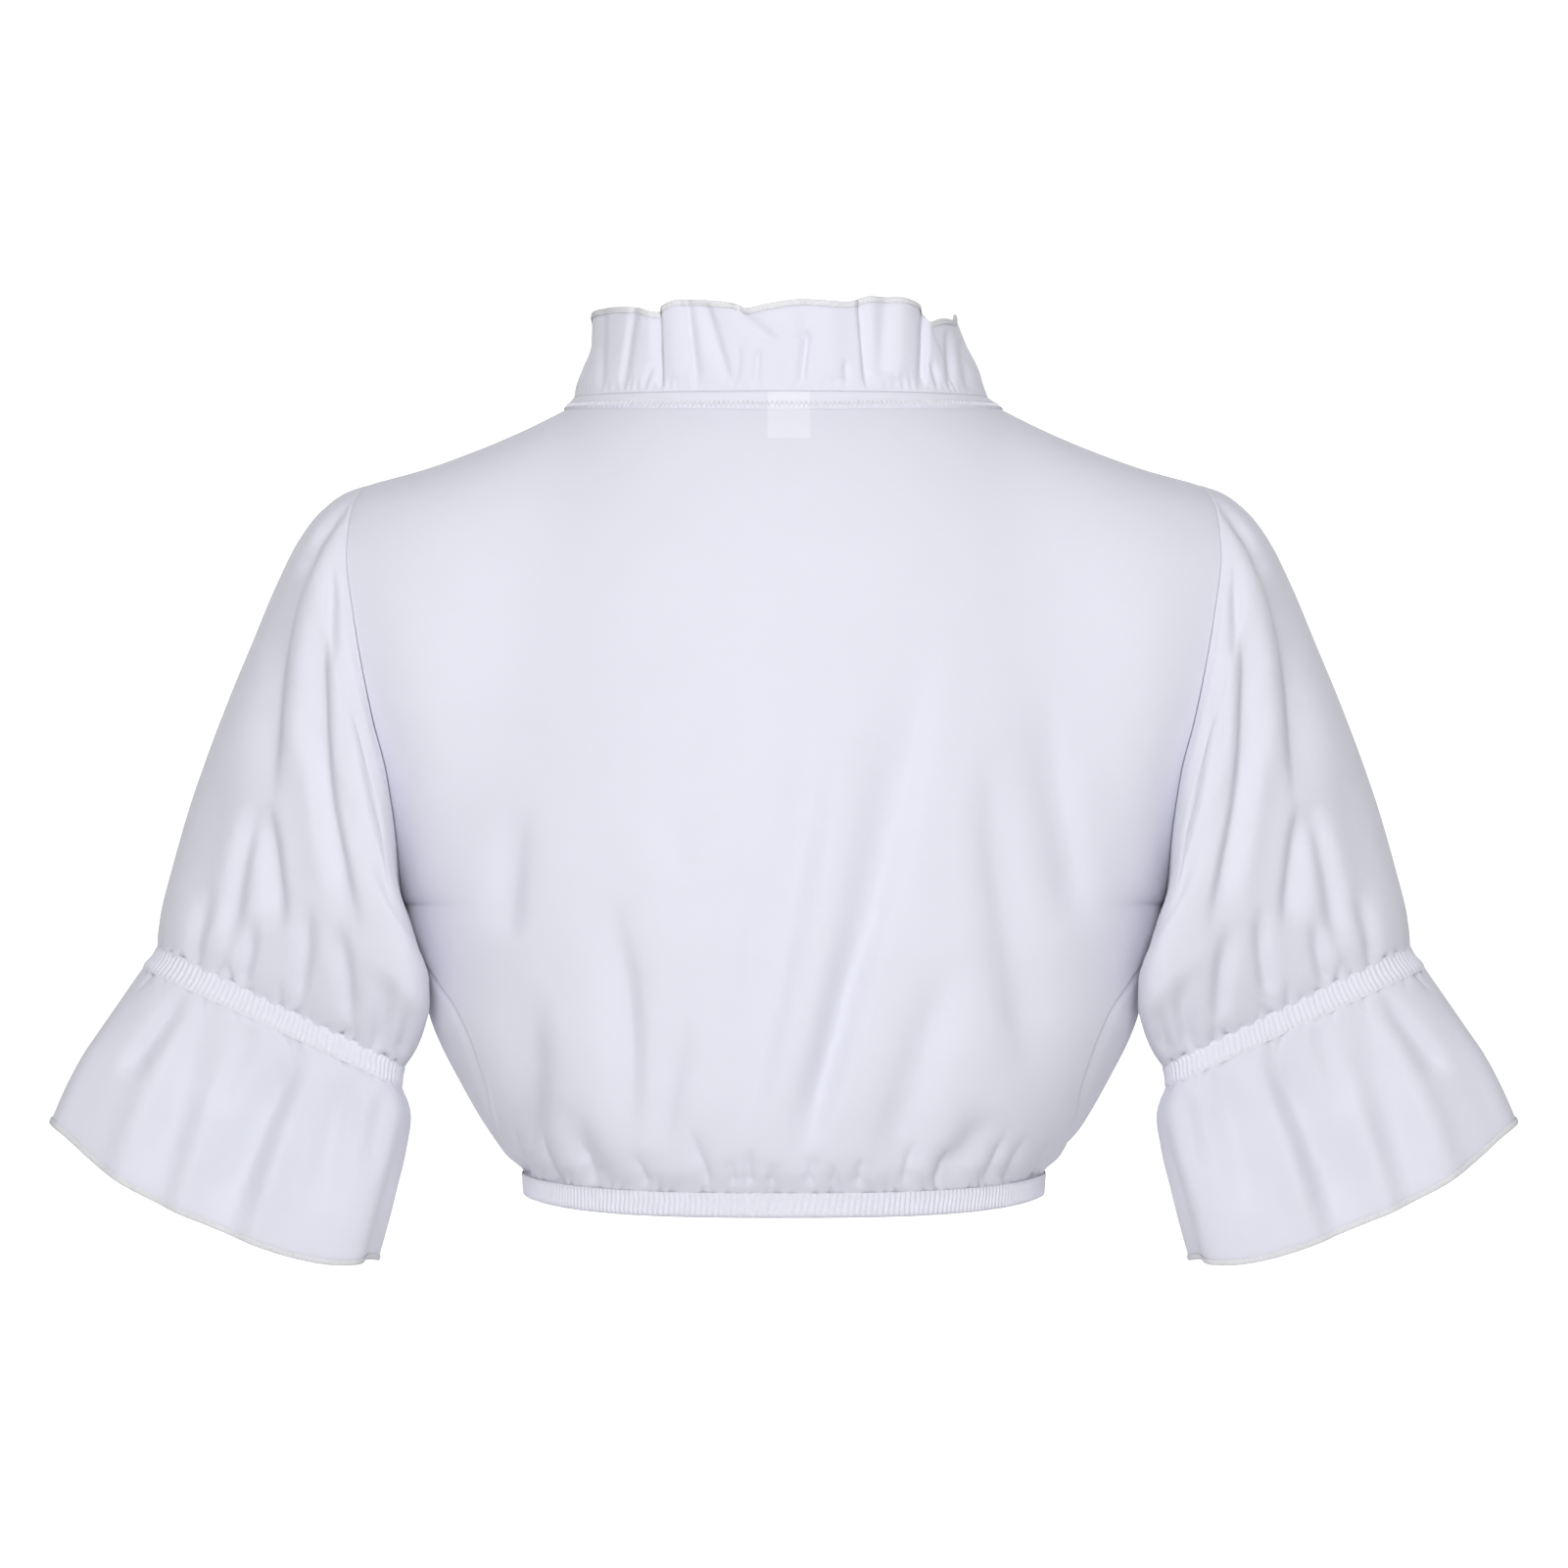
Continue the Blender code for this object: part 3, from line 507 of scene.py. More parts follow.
def torso_ring(side, across, height):
    """Points of a level section. Across runs from -1 at the left seam to 1 at the right."""
    heights = column(BODY_RINGS, "height")
    turn = between(heights, column(BODY_RINGS, "seam_turn"), height)
    angle = across * (math.pi / 2 + side * np.radians(turn))
    x = between(heights, column(BODY_RINGS, "half_width"), height)
    x = x * power(np.sin(angle), BODY_ROUNDNESS)
    back = between(heights, column(BODY_RINGS, "back_depth"), height)
    front = between(heights, column(BODY_RINGS, "front_depth"), height)
    forward = side * power(np.cos(angle), BODY_ROUNDNESS)
    y = np.where(forward < 0, back, front) * forward
    return np.stack(np.broadcast_arrays(x, y, height), axis=-1)


def neck_ring(ring, side, turn):
    """Points of half a neck ring. Turn runs from -1 at the left neck point to 1 at the right."""
    sine = np.sin(turn * math.pi / 2)
    cosine = np.abs(np.cos(turn * math.pi / 2))
    x = np.where(turn < 0, ring.half_left, ring.half_right) * sine
    if side == BACK:
        y = -ring.back_depth * cosine
        z = ring.side_z + (ring.back_z - ring.side_z) * cosine**2
    else:
        y = ring.front_depth * cosine**FRONT_NECK_ROUNDNESS
        z = ring.side_z + (ring.front_z - ring.side_z) * cosine**FRONT_NECK_DROP
    return np.stack([x, y, z], axis=-1)


def panel_top(side, across):
    """The neckline, with a shoulder seam at each end of it."""
    neck = neck_ring(NECKLINE, side, np.clip(across / NECK_SHARE, -1, 1))
    out = np.clip((np.abs(across) - NECK_SHARE) / (1 - NECK_SHARE), 0, 1)
    x = SHOULDER_X[0] + (SHOULDER_X[-1] - SHOULDER_X[0]) * out
    z = between(SHOULDER_X, SHOULDER_Z, x)
    seam = np.stack([np.sign(across) * x, np.zeros_like(x), z], axis=-1)
    return np.where((np.abs(across) > NECK_SHARE)[..., None], seam, neck)


def armhole(side, rise):
    """Points of the right armhole. Rise runs from 0 under the arm to 1 at the shoulder tip."""
    top, low = SHOULDER_Z[-1], UNDERARM
    z = (top + low) / 2 - (top - low) / 2 * np.cos(math.pi * rise)
    x = between(ARMHOLE_Z, ARMHOLE_X, z)
    y = side * ARMHOLE_DEPTH[side] * np.abs(np.sin(math.pi * rise)) ** ARMHOLE_ROUNDNESS
    return np.stack([x, y, z], axis=-1)


def over_shoulder(side, across, rise):
    """The body above the arms: up from the underarm section and over to the panel's top."""
    foot = torso_ring(side, across, np.full_like(across, UNDERARM))
    top = panel_top(side, across)
    reach = np.where(np.abs(foot[..., 1]) > 1e-6, foot[..., 1], 1)
    share = np.clip(top[..., 1] / reach, 0, 1)
    end = np.arccos(share ** (1 / SHOULDER_ROUNDNESS))
    turn = end * rise**SHOULDER_TURN
    lift = (np.sin(turn) / np.sin(end)) ** SHOULDER_ROUNDNESS
    points = foot + (top - foot) * lift[..., None]
    points[..., 1] = foot[..., 1] * np.abs(np.cos(turn)) ** SHOULDER_ROUNDNESS
    return points


def soften_corner(grid, lower):
    """Lets the corner at each neck point fade out a little way down the panel."""
    upper = len(grid) - 1 - lower
    rise = np.clip((np.arange(len(grid)) - lower) / upper, 0, 1)
    weight = (ease(rise / 0.25) * ease((1 - rise) / 0.3))[:, None, None]
    soft = grid.copy()
    for _ in range(CORNER_PASSES):
        soft[:, 1:-1] += 0.5 * ((soft[:, :-2] + soft[:, 2:]) / 2 - soft[:, 1:-1])
    return grid + weight * (soft - grid)


def panel_base(side, columns, lower, upper):
    """The back or the front before its creases, as rows from hem to shoulder."""
    across = np.linspace(-1, 1, columns + 1)
    heights = np.linspace(0, 1, lower, endpoint=False)
    rows = [torso_ring(side, across, HEM_SEAM + (UNDERARM - HEM_SEAM) * h + 0 * across) for h in heights]
    edge = np.sign(across)
    pull = ease((np.abs(across) - 1 + ARMHOLE_REACH) / ARMHOLE_REACH)[..., None]
    for rise in np.linspace(0, 1, upper + 1):
        points = over_shoulder(side, across, rise)
        target = armhole(side, np.full_like(across, rise))
        target[..., 0] *= edge
        ends = over_shoulder(side, np.where(edge < 0, -1.0, 1.0), rise)
        rows.append(points + pull * (target - ends))
    return soften_corner(np.array(rows), lower)


def gathers(place, away, span, pleats):
    """Uneven pleats that spread from an elastic: deep and narrow at it, wide and faint far off."""
    depth = np.zeros(np.broadcast_shapes(place.shape, away.shape))
    for k in range(pleats.count):
        chance = [0.5 + 0.5 * math.sin(pleats.seed + 12.9 * k + 7.3 * n * (k + 1)) for n in range(5)]
        start = span * (k + 0.5 + 0.7 * (chance[0] - 0.5)) / pleats.count
        length = pleats.longest * (0.25 + 0.75 * chance[1] ** 2)
        drift = 0.7 * (chance[2] - 0.5)
        off = place - start - drift * away
        off = (off + span / 2) % span - span / 2
        wide = 0.75 + 0.5 * chance[3] + 0.09 * away
        size = pleats.deepest * (0.45 + 0.55 * chance[4]) * ease((length - away) / length)
        depth += size * valley(off, wide, True)
    return depth


def panel_grid(side, columns, lower, upper):
    """The back or the front with its folds, its hem pleats and its shallow seam edges."""
    grid = lift_hem(panel_base(side, columns, lower, upper))
    normal = grid_normals(grid, False)
    x, z = seen(grid)
    hem_creases = HEM_CREASES
    if side == FRONT:
        hem_creases = tuple(c._replace(x0=4 - c.x0, x1=4 - c.x1, x2=4 - c.x2) for c in HEM_CREASES)
    depth = BACK_DEEPER * press(BACK_CREASES if side == BACK else FRONT_CREASES, x, z)
    depth += HEM_DEEPER * press(hem_creases, x, z, True)
    rows, count = grid.shape[:2]
    step = np.linalg.norm(np.diff(grid[0], axis=0), axis=-1)
    run = np.concatenate([[0], np.cumsum(step)])[None]
    above = grid[..., 2] - HEM_SEAM
    depth += gathers(run, np.maximum(above, 0), run[0, -1], HEM_PLEATS[side])
    place = np.arange(count)
    inset = np.minimum(place, count - 1 - place) / (count / 60)
    held = ease(inset)[None] * ease(above / 1.5 + 0.5) * ease((rows - 1 - np.arange(rows)) / 6)[:, None]
    below_arm = ease((UNDERARM + 8 - grid[..., 2]) / 16)
    roll = (0.25 + 0.6 * below_arm) * np.exp(-((inset * 2) ** 2))[None]
    return grid - normal * (depth * held + roll * (above > 4))[..., None]


def tube_ring(ring, side, turn):
    """A section of a sleeve. Turn is 0 outermost, a quarter at the back, a half innermost."""
    angle = 2 * math.pi * turn
    facing_back = np.sin(angle) > 0
    rounding = np.where(facing_back, SLEEVE_ROUNDNESS[BACK], SLEEVE_ROUNDNESS[FRONT])
    reach = power(np.cos(angle), rounding)
    shift = ring.set_back * (1 - reach) / 2
    behind = power(np.sin(angle), rounding)
    y = -shift - behind * (ring.half_depth + np.where(behind < 0, shift, 0))
    x = (ring.outer_x + ring.inner_x) / 2 + (ring.outer_x - ring.inner_x) / 2 * reach
    x = x + SLEEVE_LEAN * shift * np.maximum(y + shift, 0)
    z = (ring.outer_z + ring.inner_z) / 2 + (ring.outer_z - ring.inner_z) / 2 * reach
    return unseen(side * x, y, z)


def even_turns(ring, columns):
    """Turns whose points lie evenly round a section."""
    fine = np.linspace(0, 1, FINE_TURNS + 1)
    step = np.linalg.norm(np.diff(tube_ring(ring, 1, fine), axis=0), axis=-1)
    run = np.concatenate([[0], np.cumsum(step)]) / step.sum()
    return np.interp(np.arange(columns) / columns, run, fine)


def tube_grid(rings, side, rows, columns):
    """A tube through the sections of a table, with rows evenly between its ends."""
    table = np.array(rings, float)
    at = np.linspace(0, len(table) - 1, rows + 1)
    knots = np.arange(len(table))
    smooth = np.stack([between(knots, table[:, k], at) for k in range(table.shape[1])], axis=-1)
    turn = even_turns(TubeRing(*table[-1]), columns)
    return np.array([tube_ring(TubeRing(*ring), side, turn) for ring in smooth]), at, turn


def arm_places(grid):
    """Places on a sleeve as seen from behind, the same for its hidden side and its twin."""
    behind = np.stack([np.abs(grid[..., 0]), -np.abs(grid[..., 1]), grid[..., 2]], axis=-1)
    return seen(behind)


def sleeve_grid(side, rows, columns):
    """A puffed sleeve from the armhole to its elastic band."""
    grid, at, turn = tube_grid(SLEEVE_RINGS, side, rows, columns)
    back = armhole(BACK, 1 - 2 * turn)
    front = armhole(FRONT, 2 * turn - 1)
    start = np.where((turn <= 0.5)[:, None], back, front) * (side, 1, 1) - grid[0]
    hold = between(np.arange(len(CAP_HOLD)), CAP_HOLD, at)
    grid = grid + hold[:, None, None] * start[None]
    x, z = arm_places(grid)
    facing = ease(np.abs(np.sin(2 * math.pi * turn)) * 1.8)[None]
    depth = ARM_DEEPER * press(SLEEVE_CREASES, x, z) * facing
    path = np.linalg.norm(grid - grid[-1], axis=-1)
    around = np.arange(columns)[None] / columns
    depth += gathers(around * CUFF_ROUND, path, CUFF_ROUND, SLEEVE_PLEATS)
    edge = ease(at / 0.5)[:, None]
    roll = 0.2 * np.exp(-((at / 0.12) ** 2))[:, None]
    return grid - grid_normals(grid, True) * (depth * edge * ease(path / 2 + 0.4) + roll)[..., None]


def flounce_grid(side, rows, columns):
    """A flared flounce, waved more and more towards its free edge."""
    grid, at, turn = tube_grid(FLOUNCE_RINGS, side, rows, columns)
    share = (at / at[-1])[:, None]
    grid[..., 2] -= FLOUNCE_SAG * share**2 * np.sin(2 * math.pi * turn)[None] ** 2
    x, z = arm_places(grid)
    facing = ease(np.abs(np.sin(2 * math.pi * turn)) * 1.8)[None]
    depth = ARM_DEEPER * press(FLOUNCE_CREASES, x, z) * facing
    path = np.linalg.norm(grid - grid[0], axis=-1)
    around = np.arange(columns)[None] / columns
    depth += gathers(around * CUFF_ROUND, path, CUFF_ROUND, FLOUNCE_PLEATS)
    wave = np.cos(2 * math.pi * FLOUNCE_WAVES * around + 1.4 * uneven(around * 20, 2.0))
    depth += (1.7 + 0.9 * uneven(around * 17, 5.0)) * wave * ease(share * 1.3)
    return grid - grid_normals(grid, True) * (depth * ease(path / 2 + 0.4))[..., None]


def rib_height(turn, share, ribs):
    """Height of the fine ribs across an elastic, which fade out unevenly at its two edges."""
    bend = 0.9 * np.sin(2 * math.pi * share) * (1 + 0.6 * uneven(turn * 70, ribs.seed + 1))
    wave = np.cos(2 * math.pi * ribs.count * turn + 1.3 * uneven(turn * 50, ribs.seed) + bend)
    edge = 0.16 + 0.07 * uneven(turn * 160, ribs.seed + 2)
    envelope = ease(share / edge) * ease((1 - share) / edge)
    return (ribs.height + ribs.wave * wave) * envelope - RIB_SINK


def ribbed_band(side, columns):
    """A narrow elastic band, shirred into fine ribs that run a little into the cloth beside it."""
    table = (SLEEVE_RINGS[-2], *BAND_RINGS, FLOUNCE_RINGS[1])
    whole, at, _ = tube_grid(table, side, BAND_ROWS, columns)
    grid = whole[(at > BAND_SPAN[0]) & (at < BAND_SPAN[1])]
    share = np.linspace(0, 1, len(grid))[:, None]
    proud = rib_height(np.arange(columns)[None] / columns, share, SLEEVE_RIBS)
    return grid + grid_normals(grid, True) * proud[..., None]


def casing_grid(rows, columns):
    """The elastic casing round the hem, with its fine gathers."""
    half = columns // 2
    across = np.linspace(-1, 1, half + 1)
    lines = []
    for share in np.linspace(0, 1, rows + 1):
        level = np.full_like(across, HEM + (HEM_SEAM + 2.5 - HEM) * share)
        back = torso_ring(BACK, across, level)[:-1]
        front = torso_ring(FRONT, across, level)[:0:-1]
        lines.append(np.concatenate([back, front]))
    grid = lift_hem(np.array(lines))
    share = np.linspace(0, 1, rows + 1)[:, None]
    tuck = 2.2 * ease((0.12 - share) / 0.12)
    proud = rib_height(np.arange(columns)[None] / columns, share, HEM_RIBS) - tuck
    return grid + grid_normals(grid, True) * proud[..., None]


def neck_grid(rings, rows, columns):
    """Closed rings round the neck, back half first, with rows evenly between the table's ends."""
    table = np.array(rings, float)
    at = np.linspace(0, len(table) - 1, rows + 1)
    knots = np.arange(len(table))
    smooth = np.stack([between(knots, table[:, k], at) for k in range(7)], axis=-1)
    turn = np.linspace(-1, 1, columns // 2 + 1)
    lines = []
    for values in smooth:
        ring = NeckRing(*values)
        back = neck_ring(ring, BACK, turn)[:-1]
        front = neck_ring(ring, FRONT, turn)[:0:-1]
        lines.append(np.concatenate([back, front]))
    return np.array(lines)


def neckband_grid(rows, columns):
    """The narrow binding round the neckline, rounded a little over its width."""
    grid = neck_grid((NECKLINE, BAND_TOP), rows, columns)
    share = np.linspace(0, 1, rows + 1)[:, None]
    proud = 0.3 * ease(6 * share) * ease(6 * (1 - share)) + 0 * grid[..., 0]
    return grid + grid_normals(grid, True) * proud[..., None]


def ruffle_grid(rows, columns):
    """The standing ruffle: back folds listed one by one, even waves in front and fine gathers at its foot.
    """
    grid = neck_grid(RUFFLE_RINGS, rows, columns)
    share = np.linspace(0, 1, rows + 1)[:, None]
    place = np.arange(columns)
    back = (place < columns // 2)[None]
    around = (place - columns / 2) / (columns / 2)
    off_side = ease(np.minimum(np.abs(around) % 1, 1 - np.abs(around) % 1) / 0.07)[None]
    x, z = seen(grid)
    foot = z[0][None]
    high = z - foot
    depth = np.zeros_like(x)
    for c in RUFFLE_CREASES:
        t = np.clip((high - c.low) / (c.high - c.low), 0, 1)
        line = c.low_x + (c.high_x - c.low_x) * t
        wide = c.half_width * (1 + c.skew * np.sign(x - line))
        end = ease((high - c.low) / 3) * ease((c.high - high) / 5 + 0.2)
        depth += RUFFLE_SHARE * c.depth * back * off_side * end * np.exp(-(((x - line) / wide) ** 2))
    run = np.concatenate([[0], np.cumsum(np.linalg.norm(np.diff(grid[0], axis=0), axis=-1))])[None]
    wave = np.cos(2 * math.pi * FRONT_RUFFLE_WAVES * around + 1.1 * uneven(around * 25, 3.0))
    swell = FRONT_RUFFLE_SWELL * ~back * (0.5 - 0.5 * wave)[None] * ease(2 * share) * off_side
    small = np.cos(run * 2 * math.pi / 4.2 + 2.0 * uneven(run / 8, 5.0))
    fade = np.exp(-((share * RUFFLE_HEIGHT / (7 + 4 * uneven(run / 10, 8.0))) ** 2))
    fine = 0.7 * (0.5 + 0.5 * small) * fade
    inward = depth * ease(2.5 * share) + swell + fine * ease(6 * share)
    grid = grid - grid_normals(grid, True) * inward[..., None]
    top = between(RUFFLE_TOP_X, RUFFLE_TOP_Z, x[-1])[None]
    ripple = 0.9 * uneven(around * 40, 2.0)[None]
    grid[..., 2] += ease(share) * off_side * np.where(back, top, ripple)
    return grid


def wall_faces(rows, columns, closed):
    """Quads of an outer grid, an inner grid and the strips that join their edges."""
    count = rows * columns
    i, j = np.mgrid[0 : rows - 1, 0 : columns if closed else columns - 1]
    a = (i * columns + j).ravel()
    b = (i * columns + (j + 1) % columns).ravel()
    c, d = b + columns, a + columns
    faces = [np.stack([a, b, c, d], 1), np.stack([a, d, c, b], 1) + count]
    j = np.arange(columns if closed else columns - 1)
    a, b = j, (j + 1) % columns
    faces.append(np.stack([a, a + count, b + count, b], 1))
    a, b = a + (rows - 1) * columns, b + (rows - 1) * columns
    faces.append(np.stack([a, b, b + count, a + count], 1))
    if not closed:
        i = np.arange(rows - 1)
        a, b = i * columns, (i + 1) * columns
        faces.append(np.stack([a, b, b + count, a + count], 1))
        a, b = a + columns - 1, b + columns - 1
        faces.append(np.stack([a, a + count, b + count, b], 1))
    return np.concatenate(faces)


def sheet_faces(rows, columns, closed):
    """Quads of one grid of points."""
    i, j = np.mgrid[0 : rows - 1, 0 : columns if closed else columns - 1]
    a = (i * columns + j).ravel()
    b = (i * columns + (j + 1) % columns).ravel()
    return np.stack([a, b, b + columns, a + columns], 1)


def grain_map(mesh, grid, count):
    """A UV map in metres along the cloth: across the piece and up it."""
    rows, columns = grid.shape[:2]
    middle = grid[rows // 2]
    step = np.linalg.norm(np.diff(np.concatenate([middle, middle[:1]]), axis=0), axis=-1)
    across = np.concatenate([[0], np.cumsum(step)])[:columns]
    lift = np.linalg.norm(np.diff(grid, axis=0), axis=-1).mean(1)
    up = np.concatenate([[0], np.cumsum(lift)])
    u = np.tile(across, rows) * MM
    v = np.repeat(up, columns) * MM
    u, v = np.tile(u, count), np.tile(v, count)
    loops = np.zeros(len(mesh.loops), np.int32)
    mesh.loops.foreach_get("vertex_index", loops)
    layer = mesh.uv_layers.new(name="cloth_grain")
    layer.uv.foreach_set("vector", np.stack([u[loops], v[loops]], 1).astype(np.float32).ravel())


def cloth_object(name, grid, closed, material, node=None, thickness=0.0, body="root"):
    """A smooth-shaded cloth piece from a grid, as one sheet or as a thin wall."""
    normal = grid_normals(grid, closed)
    across = np.roll(grid, -1, axis=1) - grid if closed else np.gradient(grid, axis=1)
    turned = np.sum(np.cross(across, np.gradient(grid, axis=0)) * normal) < 0
    if turned:
        grid, normal = grid[:, ::-1], normal[:, ::-1]
    rows, columns = grid.shape[:2]
    points = grid.reshape(-1, 3)
    if thickness:
        points = np.concatenate([points, (grid - normal * thickness).reshape(-1, 3)])
        faces = wall_faces(rows, columns, closed)
    else:
        faces = sheet_faces(rows, columns, closed)
    mesh = bpy.data.meshes.new(name)
    mesh.from_pydata((points * MM).tolist(), [], faces.tolist())
    mesh.polygons.foreach_set("use_smooth", np.ones(len(faces), bool))
    grain_map(mesh, grid, 2 if thickness else 1)
    mesh.materials.append(material)
    obj = bpy.data.objects.new(name, mesh)
    bpy.context.scene.collection.objects.link(obj)
    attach(obj, body)
    if node:
        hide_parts(node)
    return obj


def along_edge(edge):
    """Unit vectors along a closed edge."""
    return unit(np.roll(edge, -1, axis=0) - np.roll(edge, 1, axis=0))


def overlock(name, grid, last, material, pitch=1.15, width=2.6):
    """The thread edging that wraps a free edge, ridged by its slanting stitches."""
    edge, inside = (grid[-1], grid[-2]) if last else (grid[0], grid[1])
    step = np.linalg.norm(np.roll(edge, -1, axis=0) - edge, axis=-1)
    run = np.concatenate([[0], np.cumsum(step)])
    count = int(run[-1] / 0.33)
    at = np.linspace(0, run[-1], count, endpoint=False)
    closed_edge = np.concatenate([edge, edge[:1]])
    closed_in = np.concatenate([inside, inside[:1]])
    line = np.stack([np.interp(at, run, closed_edge[:, k]) for k in range(3)], 1)
    down = unit(np.stack([np.interp(at, run, (closed_in - closed_edge)[:, k]) for k in range(3)], 1))
    along = along_edge(line)
    out = unit(np.cross(along, down))
    if np.sum(out * (line - line.mean(0))) < 0:
        out = -out
    ridge = 2 * math.pi * at / pitch
    profile = ((width, 0.34), (width * 0.7, 0.52), (width * 0.35, 0.5), (0.0, 0.34), (-0.22, 0.0),
               (0.0, -0.62), (width * 0.35, -0.82), (width * 0.7, -0.84), (width, -0.66))
    rows = []
    for low, proud in profile:
        bump = 0.2 * np.cos(ridge + 1.5 * low)[:, None] * (1 if proud > -0.3 else -1)
        rows.append(line + down * low + out * (proud + bump * (abs(proud) > 0.1)))
    return cloth_object(name, np.array(rows), True, material)


def zigzag(name, lower, upper, material, pitch=2.2, radius=0.26):
    """A closed zigzag of thread between two lines of points."""
    step = np.linalg.norm(np.roll(lower, -1, axis=0) - lower, axis=-1)
    run = np.concatenate([[0], np.cumsum(step)])
    teeth = int(run[-1] / pitch)
    per = 6
    at = np.arange(teeth * per) / (teeth * per) * run[-1]
    low = np.concatenate([lower, lower[:1]])
    high = np.concatenate([upper, upper[:1]])
    a = np.stack([np.interp(at, run, low[:, k]) for k in range(3)], 1)
    b = np.stack([np.interp(at, run, high[:, k]) for k in range(3)], 1)
    phase = (np.arange(teeth * per) % per) / per
    share = (1 - np.abs(2 * phase - 1))[:, None]
    line = a + (b - a) * share
    along = along_edge(line)
    out = unit(line * (1, 1, 0) - line.mean(0) * (1, 1, 0))
    side = unit(np.cross(along, out))
    out = unit(np.cross(side, along))
    rows = []
    for k in range(6):
        angle = 2 * math.pi * k / 6
        rows.append(line + radius * (math.cos(angle) * out + math.sin(angle) * side))
    rows.append(rows[0])
    return cloth_object(name, np.array(rows), True, material)


def cloth_material(name, colour, weave=0.5, label_patch=False):
    """Fine plain-weave cloth: two crossed sets of threads, a crepe grain and slight shading."""
    material = bpy.data.materials.new(name)
    material.use_nodes = True
    nodes, links = material.node_tree.nodes, material.node_tree.links
    shader = nodes["Principled BSDF"]
    shader.inputs["Roughness"].default_value = 0.78
    shader.inputs["Sheen Weight"].default_value = 0.25
    shader.inputs["Sheen Roughness"].default_value = 0.5
    shader.inputs["Specular IOR Level"].default_value = 0.3

    grain = nodes.new("ShaderNodeUVMap")
    grain.uv_map = "cloth_grain"
    waves = []
    for direction in ("X", "Y"):
        wave = nodes.new("ShaderNodeTexWave")
        wave.bands_direction = direction
        wave.inputs["Scale"].default_value = 700
        wave.inputs["Distortion"].default_value = 0.6
        wave.inputs["Detail"].default_value = 0
        links.new(grain.outputs["UV"], wave.inputs["Vector"])
        waves.append(wave)
    threads = nodes.new("ShaderNodeMath")
    threads.operation = "MULTIPLY"
    links.new(waves[0].outputs["Fac"], threads.inputs[0])
    links.new(waves[1].outputs["Fac"], threads.inputs[1])

    place = nodes.new("ShaderNodeTexCoord")
    crepe = nodes.new("ShaderNodeTexNoise")
    crepe.inputs["Scale"].default_value = 900
    crepe.inputs["Detail"].default_value = 4
    links.new(place.outputs["Object"], crepe.inputs["Vector"])
    cloud = nodes.new("ShaderNodeTexNoise")
    cloud.inputs["Scale"].default_value = 22
    cloud.inputs["Detail"].default_value = 3
    links.new(place.outputs["Object"], cloud.inputs["Vector"])

    ramp = nodes.new("ShaderNodeMix")
    ramp.data_type = "RGBA"
    ramp.inputs["A"].default_value = [c * 0.985 for c in colour[:3]] + [1]
    ramp.inputs["B"].default_value = [min(1, c * 1.015) for c in colour[:3]] + [1]
    links.new(cloud.outputs["Fac"], ramp.inputs["Factor"])
    tint = nodes.new("ShaderNodeMix")
    tint.data_type = "RGBA"
    tint.blend_type = "MULTIPLY"
    tint.inputs["Factor"].default_value = 0.06
    links.new(ramp.outputs["Result"], tint.inputs["A"])
    links.new(threads.outputs["Value"], tint.inputs["B"])
    colour_out = tint.outputs["Result"]
    if label_patch:
        colour_out = patch_over(nodes, links, place, colour_out)
    links.new(colour_out, shader.inputs["Base Color"])

    weave_bump = nodes.new("ShaderNodeBump")
    weave_bump.inputs["Strength"].default_value = weave
    weave_bump.inputs["Distance"].default_value = 0.00008
    links.new(threads.outputs["Value"], weave_bump.inputs["Height"])
    crepe_bump = nodes.new("ShaderNodeBump")
    crepe_bump.inputs["Strength"].default_value = 0.25
    crepe_bump.inputs["Distance"].default_value = 0.0001
    links.new(crepe.outputs["Fac"], crepe_bump.inputs["Height"])
    links.new(weave_bump.outputs["Normal"], crepe_bump.inputs["Normal"])
    links.new(crepe_bump.outputs["Normal"], shader.inputs["Normal"])
    return material


def patch_over(nodes, links, place, base):
    """A lighter patch where the label lies behind the cloth."""
    split = nodes.new("ShaderNodeSeparateXYZ")
    links.new(place.outputs["Object"], split.inputs["Vector"])
    shown = None
    for axis, limit, way in PATCH_SIDES:
        edge = nodes.new("ShaderNodeMapRange")
        edge.interpolation_type = "SMOOTHSTEP"
        edge.inputs["From Min"].default_value = limit - way * PATCH_BLUR
        edge.inputs["From Max"].default_value = limit + way * PATCH_BLUR
        links.new(split.outputs[axis], edge.inputs["Value"])
        if shown is None:
            shown = edge.outputs["Result"]
        else:
            both = nodes.new("ShaderNodeMath")
            both.operation = "MULTIPLY"
            links.new(shown, both.inputs[0])
            links.new(edge.outputs["Result"], both.inputs[1])
            shown = both.outputs["Value"]
    mix = nodes.new("ShaderNodeMix")
    mix.data_type = "RGBA"
    links.new(shown, mix.inputs["Factor"])
    links.new(base, mix.inputs["A"])
    mix.inputs["B"].default_value = PATCH
    return mix.outputs["Result"]


